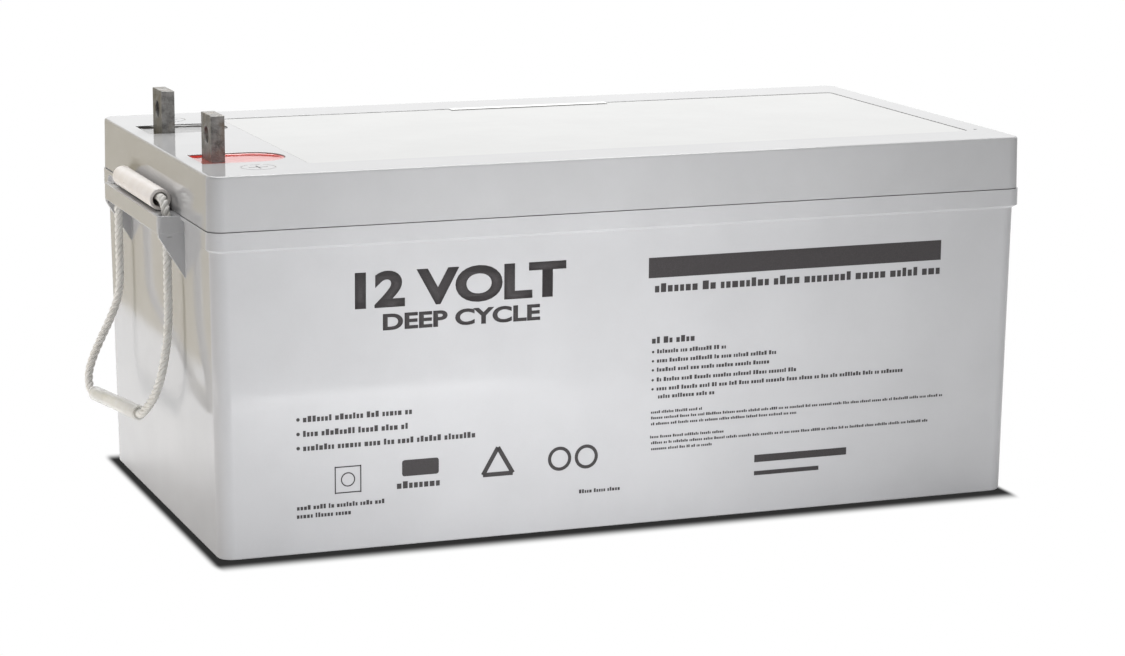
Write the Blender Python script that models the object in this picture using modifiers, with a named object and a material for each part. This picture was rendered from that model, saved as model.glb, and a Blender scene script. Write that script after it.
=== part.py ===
"""Deep cycle battery, group 8D, sealed gel type, with terminals at one short end and rope handles.

The frame: +X along the length, -Y is the printed front, +Z up, and the origin is at the centre of
the base. Lengths are in metres. The six cells stand in two rows of three. The series path runs from
the positive terminal along the front row, crosses over at +X and comes back along the rear row.
"""
import math

import bmesh
import bpy
from mathutils import Matrix, Vector

# ---- driving dimensions -------------------------------------------------------------------------
GAP = 0.0003                      # between pieces that touch
COVER_LENGTH = 0.500
COVER_WIDTH = 0.270
SEAM_Z = 0.187                    # joint between container and cover
TOP_Z = 0.218                     # flat top of the cover
CORNER = 0.009                    # vertical corner radius
ARC_STEPS = 5                     # segments of a quarter circle on the case corners
SHARP_ANGLE = 35.0                # degrees
OVERLAP = 0.001                   # how far joined pieces reach into each other
THROUGH = 0.01                    # how far a cutter runs past the surface that it opens

# container
BASE_INSET = 0.004                # wall foot inside the cover outline, each side (draft)
BASE_EDGE = 0.0015                # bevel round the bottom
WALL_TOP_INSET = 0.0018           # wall under the collar inside the cover outline
COLLAR_PROUD = 0.0005
COLLAR_HEIGHT = 0.010
COLLAR_SLOPE = 0.002
WALL = 0.004
FLOOR = 0.004
PARTITION = 0.003
CELLS_LONG = 3
RIB_HEIGHT = 0.0047
RIB_THICK = 0.004
RIB_OFFSET = 0.050

# handle ledge on each end wall
LEDGE_REACH = 0.0135              # beyond the cover
LEDGE_THICK = 0.010
LEDGE_HALF = 0.069
LEDGE_CORNER = 0.006
LEDGE_ARC_STEPS = 4
CHEEK_THICK = 0.003
CHEEK_SETBACK = 0.003             # behind the front of the ledge
CHEEK_INSET = 0.0004              # inside the end of the ledge
CHEEK_LIP = 0.002                 # depth of the cheek's blunt outer end
CHEEK_DROP = 0.0365               # ledge top to the cheek's lower point
ROPE_X = 0.2566                   # distance of the rope legs from the centre of the case
ROPE_Y = 0.062                    # half the pitch of the rope holes
ROPE_HOLE_R = 0.0045

# cover
COVER_EDGE = 0.0016               # rounding of the top edge
COVER_DRAFT = 0.0004
ROOF_Z = 0.200                    # underside of the cover over the cells
PLATE_X = (-0.183, 0.232)         # outline of the valve cover plate
PLATE_HALF_WIDTH = 0.099
PLATE_THICK = 0.003
PLATE_CORNER = 0.004
PLATE_REBATE = 0.006
CHAMBER_FLOOR = 0.204
DOT_X, DOT_Y = 0.2385, -0.095
DOT_R = 0.0012
DOT_DEPTH = 0.002
PLATE_ARC_STEPS = 3
WELL_ARC_STEPS = 12

# valves
CHIMNEY_R = 0.007
CHIMNEY_TOP = 0.2115
VENT_R = 0.003
CAP_R = 0.009
CAP_EDGE = 0.0008
CAP_BOTTOM = 0.2055
CAP_TOP = 0.2133

# terminals
WELL_LEFT = -0.240
WELL_ARC_X = -0.207
WELL_Y = 0.065
WELL_R = 0.019
WELL_FLOOR = 0.209
RESIN_TOP = 0.2168
POST_X = -0.206
POST_R = 0.010
LUG_X = (-0.232, -0.224)
LUG_Y = (0.048, 0.071)            # nearest and farthest from the centre line
LUG_TOP = 0.243
LUG_SHOULDER = 0.0004             # the flag is this much thinner where the resin holds it
LUG_EDGE = 0.0007
FOOT_THICK = 0.005
BOLT_HOLE_R = 0.00475
BOLT_Z = 0.231
ORING_R = 0.00135
ORING_SEAT_DEPTH = 0.0034

# cells
PLATE_PITCH = 0.0072
NEGATIVE_PLATES = 9
POSITIVE_THICK = 0.0042
NEGATIVE_THICK = 0.0030
PLATE_WIDE = 0.148
PLATE_BOTTOM = 0.0092
PLATE_TOP = 0.163
TAB_WIDE = 0.014
STRAP_OFFSET = 0.044
STRAP_WIDE = 0.020
STRAP_Z = (0.168, 0.178)
SEPARATOR_THICK = 0.0014
SEPARATOR_Z = (0.0092, 0.1655)
SEPARATOR_REACH = 0.0016          # fold beyond the edges of the plates
CONNECTOR_R = 0.006

# rope handle
ROPE_R = 0.0027
ROPE_TOP_Z = 0.1946
ROPE_BEND = 0.012
GRIP_R = 0.0062
GRIP_BORE_R = 0.0043
GRIP_HALF = 0.048
GRIP_CHAMFER = 0.0008
SLEEVE_R = 0.0044
SLEEVE_BORE_R = 0.0033
SLEEVE_REAR = Vector((-0.2772, 0.044, 0.0625))
SLEEVE_FRONT = Vector((-0.2684, -0.034, 0.0664))
ROPE_SPACING = 0.0066

# worked out from the above
CELL_INNER_X = COVER_LENGTH / 2 - BASE_INSET - WALL
CELL_INNER_Y = COVER_WIDTH / 2 - BASE_INSET - WALL
CELL_LONG = (2 * CELL_INNER_X - (CELLS_LONG - 1) * PARTITION) / CELLS_LONG
CELL_WIDE = CELL_INNER_Y - PARTITION / 2
CELL_STEP = CELL_LONG + PARTITION
CELL_Y = (CELL_INNER_Y + PARTITION / 2) / 2
LEDGE_X = COVER_LENGTH / 2 + LEDGE_REACH
CASE_TOP = SEAM_Z - GAP / 2
COVER_BOTTOM = SEAM_Z + GAP / 2
STACK_HALF = (NEGATIVE_PLATES - 1) * PLATE_PITCH + NEGATIVE_THICK / 2


# ---- scene and helpers --------------------------------------------------------------------------
def clear_scene():
    for obj in list(bpy.data.objects):
        bpy.data.objects.remove(obj, do_unlink=True)


def new_collection(name):
    collection = bpy.data.collections.new(name)
    bpy.context.scene.collection.children.link(collection)
    return collection


clear_scene()
PARTS = new_collection("deep_cycle_battery")
CUTTERS = new_collection("cutters")


def material(name, colour, roughness, metallic=0.0):
    mat = bpy.data.materials.new(name)
    mat.use_nodes = True
    shader = mat.node_tree.nodes["Principled BSDF"]
    shader.inputs["Base Color"].default_value = (*colour, 1.0)
    shader.inputs["Roughness"].default_value = roughness
    shader.inputs["Metallic"].default_value = metallic
    mat.diffuse_color = (*colour, 1.0)
    return mat


CASE_GREY = material("case_grey_plastic", (0.56, 0.56, 0.57), 0.18)
COVER_GREY = material("cover_grey_plastic", (0.62, 0.62, 0.62), 0.18)
LEAD = material("worn_lead", (0.17, 0.165, 0.155), 0.45, 0.9)
RED_RESIN = material("red_resin", (0.62, 0.04, 0.03), 0.12)
BLACK_RESIN = material("black_resin", (0.03, 0.028, 0.025), 0.12)
ROPE_WHITE = material("white_rope", (0.80, 0.78, 0.72), 0.75)
GRIP_WHITE = material("white_grip_plastic", (0.84, 0.82, 0.78), 0.35)
SLEEVE_CLEAR = material("clear_sleeve_plastic", (0.82, 0.80, 0.72), 0.25)
RUBBER = material("valve_rubber", (0.02, 0.02, 0.02), 0.7)
POSITIVE_PASTE = material("positive_plate", (0.10, 0.04, 0.02), 0.8)
NEGATIVE_PASTE = material("negative_plate", (0.22, 0.23, 0.25), 0.6)
SEPARATOR_WHITE = material("separator_sheet", (0.75, 0.74, 0.70), 0.8)


def add_mesh(name, mesh, mat=None, collection=None):
    obj = bpy.data.objects.new(name, mesh)
    (collection or PARTS).objects.link(obj)
    if mat is not None and not mesh.materials:
        mesh.materials.append(mat)
    return obj


def from_bmesh(name, bm, mat=None, collection=None):
    bmesh.ops.recalc_face_normals(bm, faces=bm.faces)
    mesh = bpy.data.meshes.new(name)
    bm.to_mesh(mesh)
    bm.free()
    return add_mesh(name, mesh, mat, collection)


def as_cutter(obj):
    obj.hide_render = True
    obj.display_type = "WIRE"
    return obj


def boolean(obj, tool, operation="DIFFERENCE"):
    modifier = obj.modifiers.new(f"{operation.lower()}_{tool.name}", "BOOLEAN")
    modifier.operation = operation
    modifier.solver = "EXACT"
    modifier.object = tool


def smooth(obj):
    """Smooth shading that keeps every edge sharper than the steps of a round surface."""
    obj.data.shade_smooth()
    obj.data.set_sharp_from_angle(angle=math.radians(SHARP_ANGLE))
    return obj


def add_box(bm, low, high):
    """A cube primitive that reaches from one corner to the other."""
    low = Vector(low)
    high = Vector(high)
    size = high - low
    place = Matrix.Translation((low + high) / 2) @ Matrix.Diagonal((size.x, size.y, size.z, 1.0))
    bmesh.ops.create_cube(bm, size=1.0, matrix=place)


def add_cylinder(bm, radius, start, end, segments=24):
    """A capped cylinder primitive between two points."""
    start = Vector(start)
    end = Vector(end)
    axis = end - start
    turn = Vector((0, 0, 1)).rotation_difference(axis.normalized()).to_matrix().to_4x4()
    place = Matrix.Translation((start + end) / 2) @ turn
    bmesh.ops.create_cone(bm, cap_ends=True, segments=segments, radius1=radius, radius2=radius,
                          depth=axis.length, matrix=place)


def add_extruded(bm, points, along):
    """A flat outline of 3-D points, pushed along a vector into a closed solid."""
    face = bm.faces.new([bm.verts.new(point) for point in points])
    grown = bmesh.ops.extrude_face_region(bm, geom=[face])["geom"]
    moved = [item for item in grown if isinstance(item, bmesh.types.BMVert)]
    bmesh.ops.translate(bm, verts=moved, vec=along)


def boxes(name, corners):
    bm = bmesh.new()
    for low, high in corners:
        add_box(bm, low, high)
    return as_cutter(from_bmesh(name, bm, None, CUTTERS))


def cylinders(name, runs, segments=24):
    bm = bmesh.new()
    for radius, start, end in runs:
        add_cylinder(bm, radius, start, end, segments)
    return as_cutter(from_bmesh(name, bm, None, CUTTERS))


def rounded_rectangle(length, width, radius, steps=ARC_STEPS, centre=(0.0, 0.0)):
    """Counter-clockwise outline with a quarter circle at each corner."""
    points = []
    corners = ((1, 1, 0), (-1, 1, 90), (-1, -1, 180), (1, -1, 270))
    for sign_x, sign_y, start in corners:
        arc_x = centre[0] + sign_x * (length / 2 - radius)
        arc_y = centre[1] + sign_y * (width / 2 - radius)
        for step in range(steps + 1):
            angle = math.radians(start + 90 * step / steps)
            points.append((arc_x + radius * math.cos(angle), arc_y + radius * math.sin(angle)))
    return points


def loft(bm, sections):
    """Closed solid through stacked outlines with the same number of points: (z, outline)."""
    rings = []
    for z, outline in sections:
        rings.append([bm.verts.new((x, y, z)) for x, y in outline])
    bm.faces.new(list(reversed(rings[0])))
    bm.faces.new(rings[-1])
    for lower, upper in zip(rings, rings[1:]):
        for index in range(len(lower)):
            after = (index + 1) % len(lower)
            bm.faces.new((lower[index], lower[after], upper[after], upper[index]))


def profile_mesh(name, profile, mat, closed=False):
    """Half section of a turned piece, as (radius, z) points with the outer side running down."""
    bm = bmesh.new()
    verts = [bm.verts.new((radius, 0.0, z)) for radius, z in profile]
    for first, second in zip(verts, verts[1:]):
        bm.edges.new((first, second))
    if closed:
        bm.edges.new((verts[-1], verts[0]))
    mesh = bpy.data.meshes.new(name)
    bm.to_mesh(mesh)
    bm.free()
    mesh.materials.append(mat)
    return mesh


def turned(name, mesh, steps=24):
    """Body of revolution about Z from a profile mesh."""
    obj = add_mesh(name, mesh)
    screw = obj.modifiers.new("turn", "SCREW")
    screw.steps = steps
    screw.render_steps = steps
    screw.use_merge_vertices = True
    screw.merge_threshold = 0.00001
    screw.use_smooth_shade = True
    return obj


def cell_centres():
    """(column, side, x, y): column 0 is nearest the terminals, side -1 is the front row."""
    for side in (-1, 1):
        for column in range(CELLS_LONG):
            yield column, side, (column - 1) * CELL_STEP, side * CELL_Y


def row_name(side):
    return "front" if side < 0 else "rear"


# ---- container ----------------------------------------------------------------------------------
def container_shell():
    """Outer form: drafted walls, then the collar that carries the cover."""
    def section(z, inset, radius=CORNER):
        return z, rounded_rectangle(COVER_LENGTH - 2 * inset, COVER_WIDTH - 2 * inset, radius)

    collar_foot = SEAM_Z - COLLAR_HEIGHT
    bm = bmesh.new()
    loft(bm, (section(0.0, BASE_INSET + BASE_EDGE, CORNER - BASE_EDGE),
              section(BASE_EDGE, BASE_INSET),
              section(collar_foot - COLLAR_SLOPE, WALL_TOP_INSET),
              section(collar_foot, -COLLAR_PROUD),
              section(CASE_TOP, -COLLAR_PROUD)))
    return smooth(from_bmesh("container", bm, CASE_GREY))


def cell_pockets(name, bottom, top):
    corners = []
    for _, _, x, y in cell_centres():
        half_x = CELL_LONG / 2
        half_y = CELL_WIDE / 2
        corners.append(((x - half_x, y - half_y, bottom), (x + half_x, y + half_y, top)))
    return boxes(name, corners)


def plate_rest_ribs():
    """Ribs on the floor that the plates stand on, two under each column of cells."""
    corners = []
    for column in range(CELLS_LONG):
        for side in (-1, 1):
            x = (column - 1) * CELL_STEP + side * RIB_OFFSET
            corners.append(((x - RIB_THICK / 2, -CELL_INNER_Y - OVERLAP, FLOOR - OVERLAP),
                            (x + RIB_THICK / 2, CELL_INNER_Y + OVERLAP, FLOOR + RIB_HEIGHT)))
    return boxes("plate_rest_ribs", corners)


def ledge(end):
    """The handle ledge of one end: a thick plate with round outer corners."""
    inner = CELL_INNER_X + WALL / 2
    length = 2 * (LEDGE_X - inner)
    outline = rounded_rectangle(length, 2 * LEDGE_HALF, LEDGE_CORNER, LEDGE_ARC_STEPS, (inner, 0.0))
    front_corner = [(x, y) for x, y in outline if x > inner and y < 0]
    rear_corner = [(x, y) for x, y in outline if x > inner and y > 0]
    kept = [(inner, LEDGE_HALF), (inner, -LEDGE_HALF), *front_corner, *rear_corner]
    kept = [(end * x, y) for x, y in kept]
    bm = bmesh.new()
    loft(bm, ((SEAM_Z - LEDGE_THICK, kept), (CASE_TOP, kept)))
    return as_cutter(from_bmesh(f"ledge_{end}", bm, None, CUTTERS))


def cheeks(end):
    """Two triangular gussets that carry the ends of a ledge."""
    inner = CELL_INNER_X + WALL / 2
    outer = LEDGE_X - CHEEK_SETBACK
    under = SEAM_Z - LEDGE_THICK
    foot = SEAM_Z - CHEEK_DROP
    outline = ((inner, under + CHEEK_THICK), (outer, under + CHEEK_THICK), (outer, under - CHEEK_LIP),
               (COVER_LENGTH / 2 - WALL_TOP_INSET, foot), (inner, foot - CHEEK_LIP))
    bm = bmesh.new()
    for side in (-1, 1):
        near = side * (LEDGE_HALF - CHEEK_INSET)
        far = side * (LEDGE_HALF - CHEEK_THICK)
        add_extruded(bm, [(end * x, near, z) for x, z in outline], (0.0, far - near, 0.0))
    return as_cutter(from_bmesh(f"cheeks_{end}", bm, None, CUTTERS))


def rope_holes():
    runs = []
    for end in (-1, 1):
        for side in (-1, 1):
            x, y = end * ROPE_X, side * ROPE_Y
            runs.append((ROPE_HOLE_R, (x, y, SEAM_Z - 2 * LEDGE_THICK), (x, y, SEAM_Z + THROUGH)))
    return cylinders("rope_holes", runs)


def connector_runs(radius):
    """The five bars between neighbouring cells, each with the ends that it spans."""
    z = sum(STRAP_Z) / 2
    reach = CELL_STEP / 2 - STRAP_OFFSET - STRAP_WIDE / 2 - GAP
    runs = []
    for side in (-1, 1):
        for wall in (-1, 1):
            x, y = wall * CELL_STEP / 2, side * CELL_Y
            runs.append((radius, (x - reach, y, z), (x + reach, y, z)))
    far_x = CELL_STEP + STRAP_OFFSET
    reach_y = CELL_Y - STACK_HALF - GAP
    runs.append((radius, (far_x, -reach_y, z), (far_x, reach_y, z)))
    return runs


def hole_runs():
    """Short bores for the connector bars, only through the partitions."""
    runs = []
    for radius, start, end in connector_runs(CONNECTOR_R + 2 * GAP):
        middle = (Vector(start) + Vector(end)) / 2
        along = (Vector(end) - Vector(start)).normalized() * 2 * PARTITION
        runs.append((radius, middle - along, middle + along))
    return runs


def build_container():
    body = container_shell()
    boolean(body, cell_pockets("cell_pockets", FLOOR, SEAM_Z + THROUGH))
    boolean(body, plate_rest_ribs(), "UNION")
    for end in (-1, 1):
        boolean(body, ledge(end), "UNION")
        boolean(body, cheeks(end), "UNION")
    boolean(body, rope_holes())
    boolean(body, cylinders("connector_holes", hole_runs()))
    return body


# ---- cover --------------------------------------------------------------------------------------
def cover_shell():
    def section(z, inset):
        radius = CORNER - inset
        return z, rounded_rectangle(COVER_LENGTH - 2 * inset, COVER_WIDTH - 2 * inset, radius)

    rounding = []
    for degrees in (0, 30, 60, 90):
        angle = math.radians(degrees)
        inset = COVER_DRAFT + COVER_EDGE * (1 - math.cos(angle))
        rounding.append(section(TOP_Z - COVER_EDGE * (1 - math.sin(angle)), inset))
    bm = bmesh.new()
    loft(bm, (section(COVER_BOTTOM, 0.0), *rounding))
    return smooth(from_bmesh("cover", bm, COVER_GREY))


def plate_outline(inset):
    length = PLATE_X[1] - PLATE_X[0] - 2 * inset
    centre = ((PLATE_X[0] + PLATE_X[1]) / 2, 0.0)
    width = 2 * (PLATE_HALF_WIDTH - inset)
    return rounded_rectangle(length, width, PLATE_CORNER, PLATE_ARC_STEPS, centre)


def slab(name, outline, bottom, top, mat=None):
    """Upright prism of an outline: a cutter unless it has a material."""
    bm = bmesh.new()
    loft(bm, ((bottom, outline), (top, outline)))
    if mat is None:
        return as_cutter(from_bmesh(name, bm, None, CUTTERS))
    return smooth(from_bmesh(name, bm, mat))


def well_outline(side, inset):
    """Square at the terminal's end, half round over the post."""
    radius = WELL_R - inset
    y = side * WELL_Y
    points = [(WELL_LEFT + inset, y + radius), (WELL_LEFT + inset, y - radius)]
    for step in range(WELL_ARC_STEPS + 1):
        angle = math.radians(-90 + 180 * step / WELL_ARC_STEPS)
        points.append((WELL_ARC_X + radius * math.cos(angle), y + radius * math.sin(angle)))
    return points


def build_cover():
    body = cover_shell()
    seat = TOP_Z - PLATE_THICK - 2 * GAP
    boolean(body, cell_pockets("cover_pockets", SEAM_Z - THROUGH, ROOF_Z))
    boolean(body, slab("plate_recess", plate_outline(-GAP), seat, TOP_Z + THROUGH))
    boolean(body, slab("valve_chamber", plate_outline(PLATE_REBATE), CHAMBER_FLOOR, TOP_Z + THROUGH))
    chimneys = []
    bores = [(DOT_R, (DOT_X, DOT_Y, TOP_Z - DOT_DEPTH), (DOT_X, DOT_Y, TOP_Z + THROUGH))]
    for _, _, x, y in cell_centres():
        chimneys.append((CHIMNEY_R, (x, y, CHAMBER_FLOOR - OVERLAP), (x, y, CHIMNEY_TOP)))
        bores.append((VENT_R, (x, y, ROOF_Z - OVERLAP), (x, y, CHIMNEY_TOP + OVERLAP)))
    boolean(body, cylinders("chimneys", chimneys), "UNION")
    for side in (-1, 1):
        name = row_name(side)
        boolean(body, slab(f"well_{name}", well_outline(side, 0.0), WELL_FLOOR, TOP_Z + THROUGH))
        y = side * WELL_Y
        seat_r = POST_R + 2 * ORING_R + 3 * GAP
        seat_run = (seat_r, (POST_X, y, WELL_FLOOR - ORING_SEAT_DEPTH), (POST_X, y, WELL_FLOOR + OVERLAP))
        boolean(body, cylinders(f"oring_seat_{name}", [seat_run]))
        bores.append((POST_R + GAP, (POST_X, y, ROOF_Z - OVERLAP), (POST_X, y, WELL_FLOOR - OVERLAP)))
    boolean(body, cylinders("cover_bores", bores))
    return body


def build_plate():
    bottom = TOP_Z - PLATE_THICK - GAP
    slab("valve_cover_plate", plate_outline(0.0), bottom, TOP_Z - GAP, COVER_GREY)


# ---- valves -------------------------------------------------------------------------------------
def build_valves():
    inner = CHIMNEY_R + GAP
    ceiling = CHIMNEY_TOP + GAP
    profile = ((0.0, CAP_TOP), (CAP_R - CAP_EDGE, CAP_TOP), (CAP_R, CAP_TOP - CAP_EDGE), (CAP_R, CAP_BOTTOM),
               (inner, CAP_BOTTOM), (inner, ceiling), (0.0, ceiling))
    mesh = profile_mesh("valve_cap", profile, RUBBER)
    for column, side, x, y in cell_centres():
        cap = turned(f"valve_cap_{row_name(side)}_{column + 1}", mesh, 20)
        cap.location = (x, y, 0.0)


# ---- terminals ----------------------------------------------------------------------------------
def terminal_foot(name, side, grow):
    """The L-shaped foot and root of a terminal, held by the resin, grown on every side."""
    near, far = sorted(side * value for value in LUG_Y)
    low_y = near + LUG_SHOULDER - grow
    high_y = far - LUG_SHOULDER + grow
    left = LUG_X[0] + LUG_SHOULDER - grow
    right = LUG_X[1] - LUG_SHOULDER + grow
    bottom = WELL_FLOOR + 2 * GAP - grow
    foot_top = WELL_FLOOR + 2 * GAP + FOOT_THICK + grow
    root_top = RESIN_TOP + GAP + LUG_EDGE
    outline = ((left, bottom), (POST_X, bottom), (POST_X, foot_top), (right, foot_top),
               (right, root_top), (left, root_top))
    bm = bmesh.new()
    add_extruded(bm, [(x, low_y, z) for x, z in outline], (0.0, high_y - low_y, 0.0))
    return as_cutter(from_bmesh(name, bm, None, CUTTERS))


def post_run(side, grow):
    y = side * WELL_Y
    top = WELL_FLOOR + 2 * GAP + FOOT_THICK + grow
    return POST_R + grow, (POST_X, y, STRAP_Z[1] + GAP - grow), (POST_X, y, top)


def build_terminal(side, name, resin_name, resin_material):
    near, far = sorted(side * value for value in LUG_Y)
    bm = bmesh.new()
    add_box(bm, (LUG_X[0], near, RESIN_TOP + GAP), (LUG_X[1], far, LUG_TOP))
    bmesh.ops.bevel(bm, geom=bm.edges[:], offset=LUG_EDGE, segments=1, affect="EDGES")
    terminal = from_bmesh(name, bm, LEAD)
    boolean(terminal, terminal_foot(f"{name}_foot", side, 0.0), "UNION")
    boolean(terminal, cylinders(f"{name}_post", [post_run(side, 0.0)]), "UNION")
    middle = side * sum(LUG_Y) / 2
    hole = (BOLT_HOLE_R, (LUG_X[0] - THROUGH, middle, BOLT_Z), (LUG_X[1] + THROUGH, middle, BOLT_Z))
    boolean(terminal, cylinders(f"{name}_bolt_hole", [hole], segments=32))

    resin = slab(resin_name, well_outline(side, GAP), WELL_FLOOR + GAP, RESIN_TOP, resin_material)
    boolean(resin, terminal_foot(f"{resin_name}_foot", side, GAP))
    boolean(resin, cylinders(f"{resin_name}_post", [post_run(side, GAP)]))


def build_oring(side, name):
    major = POST_R + ORING_R + 1.3 * GAP
    z = WELL_FLOOR - ORING_SEAT_DEPTH + ORING_R + GAP
    bpy.ops.mesh.primitive_torus_add(major_radius=major, minor_radius=ORING_R, major_segments=24,
                                     minor_segments=8, location=(POST_X, side * WELL_Y, z))
    ring = smooth(bpy.context.object)
    ring.name = name
    for collection in list(ring.users_collection):
        collection.objects.unlink(ring)
    PARTS.objects.link(ring)
    ring.data.materials.append(RUBBER)


# ---- cells --------------------------------------------------------------------------------------
def plate_group_mesh(name, count, thick, strap_x, mat):
    """Upright plates whose tabs hang from one cast strap, in the frame of their cell."""
    bm = bmesh.new()
    for index in range(count):
        y = (index - (count - 1) / 2) * 2 * PLATE_PITCH
        outline = ((-PLATE_WIDE / 2, PLATE_BOTTOM), (PLATE_WIDE / 2, PLATE_BOTTOM),
                   (PLATE_WIDE / 2, PLATE_TOP), (strap_x + TAB_WIDE / 2, PLATE_TOP),
                   (strap_x + TAB_WIDE / 2, STRAP_Z[0] + OVERLAP),
                   (strap_x - TAB_WIDE / 2, STRAP_Z[0] + OVERLAP),
                   (strap_x - TAB_WIDE / 2, PLATE_TOP), (-PLATE_WIDE / 2, PLATE_TOP))
        add_extruded(bm, [(x, y - thick / 2, z) for x, z in outline], (0.0, thick, 0.0))
    group = from_bmesh(name, bm, mat, CUTTERS)
    low = (strap_x - STRAP_WIDE / 2, -STACK_HALF, STRAP_Z[0])
    high = (strap_x + STRAP_WIDE / 2, STACK_HALF, STRAP_Z[1])
    strap = boxes(f"{name}_strap", [(low, high)])
    boolean(group, strap, "UNION")
    depsgraph = bpy.context.evaluated_depsgraph_get()
    mesh = bpy.data.meshes.new_from_object(group.evaluated_get(depsgraph))
    bpy.data.objects.remove(group)
    return mesh


def separator_mesh(name):
    """One sheet folded between all the plates, standing on edge."""
    reach = PLATE_WIDE / 2 + SEPARATOR_REACH
    count = 2 * NEGATIVE_PLATES - 2
    bm = bmesh.new()
    path = []
    for index in range(count):
        y = (index - (count - 1) / 2) * PLATE_PITCH
        ends = (-reach, reach) if index % 2 == 0 else (reach, -reach)
        path += [(ends[0], y), (ends[1], y)]
    lower = [bm.verts.new((x, y, SEPARATOR_Z[0])) for x, y in path]
    for first, second in zip(lower, lower[1:]):
        bm.edges.new((first, second))
    grown = bmesh.ops.extrude_edge_only(bm, edges=bm.edges[:])["geom"]
    moved = [item for item in grown if isinstance(item, bmesh.types.BMVert)]
    bmesh.ops.translate(bm, verts=moved, vec=(0.0, 0.0, SEPARATOR_Z[1] - SEPARATOR_Z[0]))
    mesh = bpy.data.meshes.new(name)
    bm.to_mesh(mesh)
    bm.free()
    mesh.materials.append(SEPARATOR_WHITE)
    return mesh


def build_cells():
    positive = plate_group_mesh("positive_group", NEGATIVE_PLATES - 1, POSITIVE_THICK, -STRAP_OFFSET,
                                POSITIVE_PASTE)
    negative = plate_group_mesh("negative_group", NEGATIVE_PLATES, NEGATIVE_THICK, STRAP_OFFSET,
                                NEGATIVE_PASTE)
    separator = separator_mesh("separator")
    for column, side, x, y in cell_centres():
        tail = f"{row_name(side)}_{column + 1}"
        turn = 0.0 if side < 0 else math.pi
        for kind, mesh in (("positive_plates", positive), ("negative_plates", negative),
                           ("separator", separator)):
            piece = add_mesh(f"{kind}_{tail}", mesh)
            piece.location = (x, y, 0.0)
            piece.rotation_euler = (0.0, 0.0, turn)
            if mesh is separator:
                solid = piece.modifiers.new("sheet", "SOLIDIFY")
                solid.thickness = SEPARATOR_THICK
                solid.offset = 0.0
                solid.use_even_offset = True


def build_connectors():
    """Lead bars that pass through the partitions and join the straps of neighbouring cells."""
    names = ("front_1_2", "front_2_3", "rear_1_2", "rear_2_3", "front_rear_3")
    for name, run in zip(names, connector_runs(CONNECTOR_R)):
        bm = bmesh.new()
        add_cylinder(bm, *run, segments=20)
        smooth(from_bmesh(f"cell_connector_{name}", bm, LEAD))


# ---- rope handles -------------------------------------------------------------------------------
def sleeve_point(share):
    return SLEEVE_REAR.lerp(SLEEVE_FRONT, share)


def rope_route():
    """The rope of the -X handle from its end in the sleeve, up, through the grip and back."""
    x = -ROPE_X
    bend_z = ROPE_TOP_Z - ROPE_BEND
    bend_y = ROPE_Y - ROPE_BEND
    route = [sleeve_point(share) for share in (0.46, 0.28, 0.12, -0.03)]
    route += [Vector(point) for point in (
        (-0.2783, 0.0545, 0.0645), (-0.2775, 0.0597, 0.0722), (-0.2742, 0.0616, 0.0815),
        (-0.2693, 0.0620, 0.0920), (-0.2638, 0.0620, 0.1030), (-0.2592, 0.0620, 0.1140),
        (-0.2570, 0.0620, 0.1245))]
    route += [Vector((x, ROPE_Y, z)) for z in (0.134, 0.146, 0.158, 0.170, bend_z)]
    route += bend_points(x, bend_y, bend_z, 1)
    route += [Vector((x, y, ROPE_TOP_Z)) for y in (0.036, 0.018, 0.0, -0.018, -0.036)]
    route += list(reversed(bend_points(x, bend_y, bend_z, -1)))
    route += [Vector((x, -ROPE_Y, z)) for z in (bend_z, 0.170, 0.158, 0.146, 0.134)]
    route += [Vector(point) for point in (
        (-0.2569, -0.0620, 0.1230), (-0.2578, -0.0617, 0.1120), (-0.2594, -0.0608, 0.1015),
        (-0.2611, -0.0585, 0.0915), (-0.2630, -0.0540, 0.0822), (-0.2650, -0.0482, 0.0750),
        (-0.2669, -0.0420, 0.0696))]
    route += [sleeve_point(share) for share in (1.03, 0.88, 0.72, 0.54)]
    return route


def bend_points(x, bend_y, bend_z, side):
    """Quarter turn over the rope hole, from the hole towards the grip."""
    points = []
    for degrees in (25, 50, 75):
        angle = math.radians(degrees)
        y = bend_y + ROPE_BEND * math.cos(angle)
        points.append(Vector((x, side * y, bend_z + ROPE_BEND * math.sin(angle))))
    points.append(Vector((x, side * bend_y, ROPE_TOP_Z)))
    return points


def smooth_curve(points, spacing):
    """Points at an even spacing on a Catmull-Rom curve through the given ones."""
    padded = [2 * points[0] - points[1], *points, 2 * points[-1] - points[-2]]
    dense = []
    for index in range(1, len(padded) - 2):
        before, start, end, after = padded[index - 1:index + 3]
        for step in range(12):
            t = step / 12
            dense.append(0.5 * (2 * start + (end - before) * t
                                + (2 * before - 5 * start + 4 * end - after) * t ** 2
                                + (3 * start - before - 3 * end + after) * t ** 3))
    dense.append(points[-1])
    lengths = [0.0]
    for first, second in zip(dense, dense[1:]):
        lengths.append(lengths[-1] + (second - first).length)
    count = round(lengths[-1] / spacing)
    result = []
    place = 0
    for step in range(count + 1):
        target = lengths[-1] * step / count
        while place < len(dense) - 2 and lengths[place + 1] < target:
            place += 1
        share = (target - lengths[place]) / (lengths[place + 1] - lengths[place])
        result.append(dense[place].lerp(dense[place + 1], share))
    return result


def rope_object(name, points):
    curve = bpy.data.curves.new(name, "CURVE")
    curve.dimensions = "3D"
    curve.bevel_depth = ROPE_R
    curve.bevel_resolution = 2
    curve.use_fill_caps = True
    spline = curve.splines.new("POLY")
    spline.points.add(len(points) - 1)
    for target, point in zip(spline.points, points):
        target.co = (*point, 1.0)
    curve.materials.append(ROPE_WHITE)
    obj = bpy.data.objects.new(name, curve)
    PARTS.objects.link(obj)
    return obj


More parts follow.
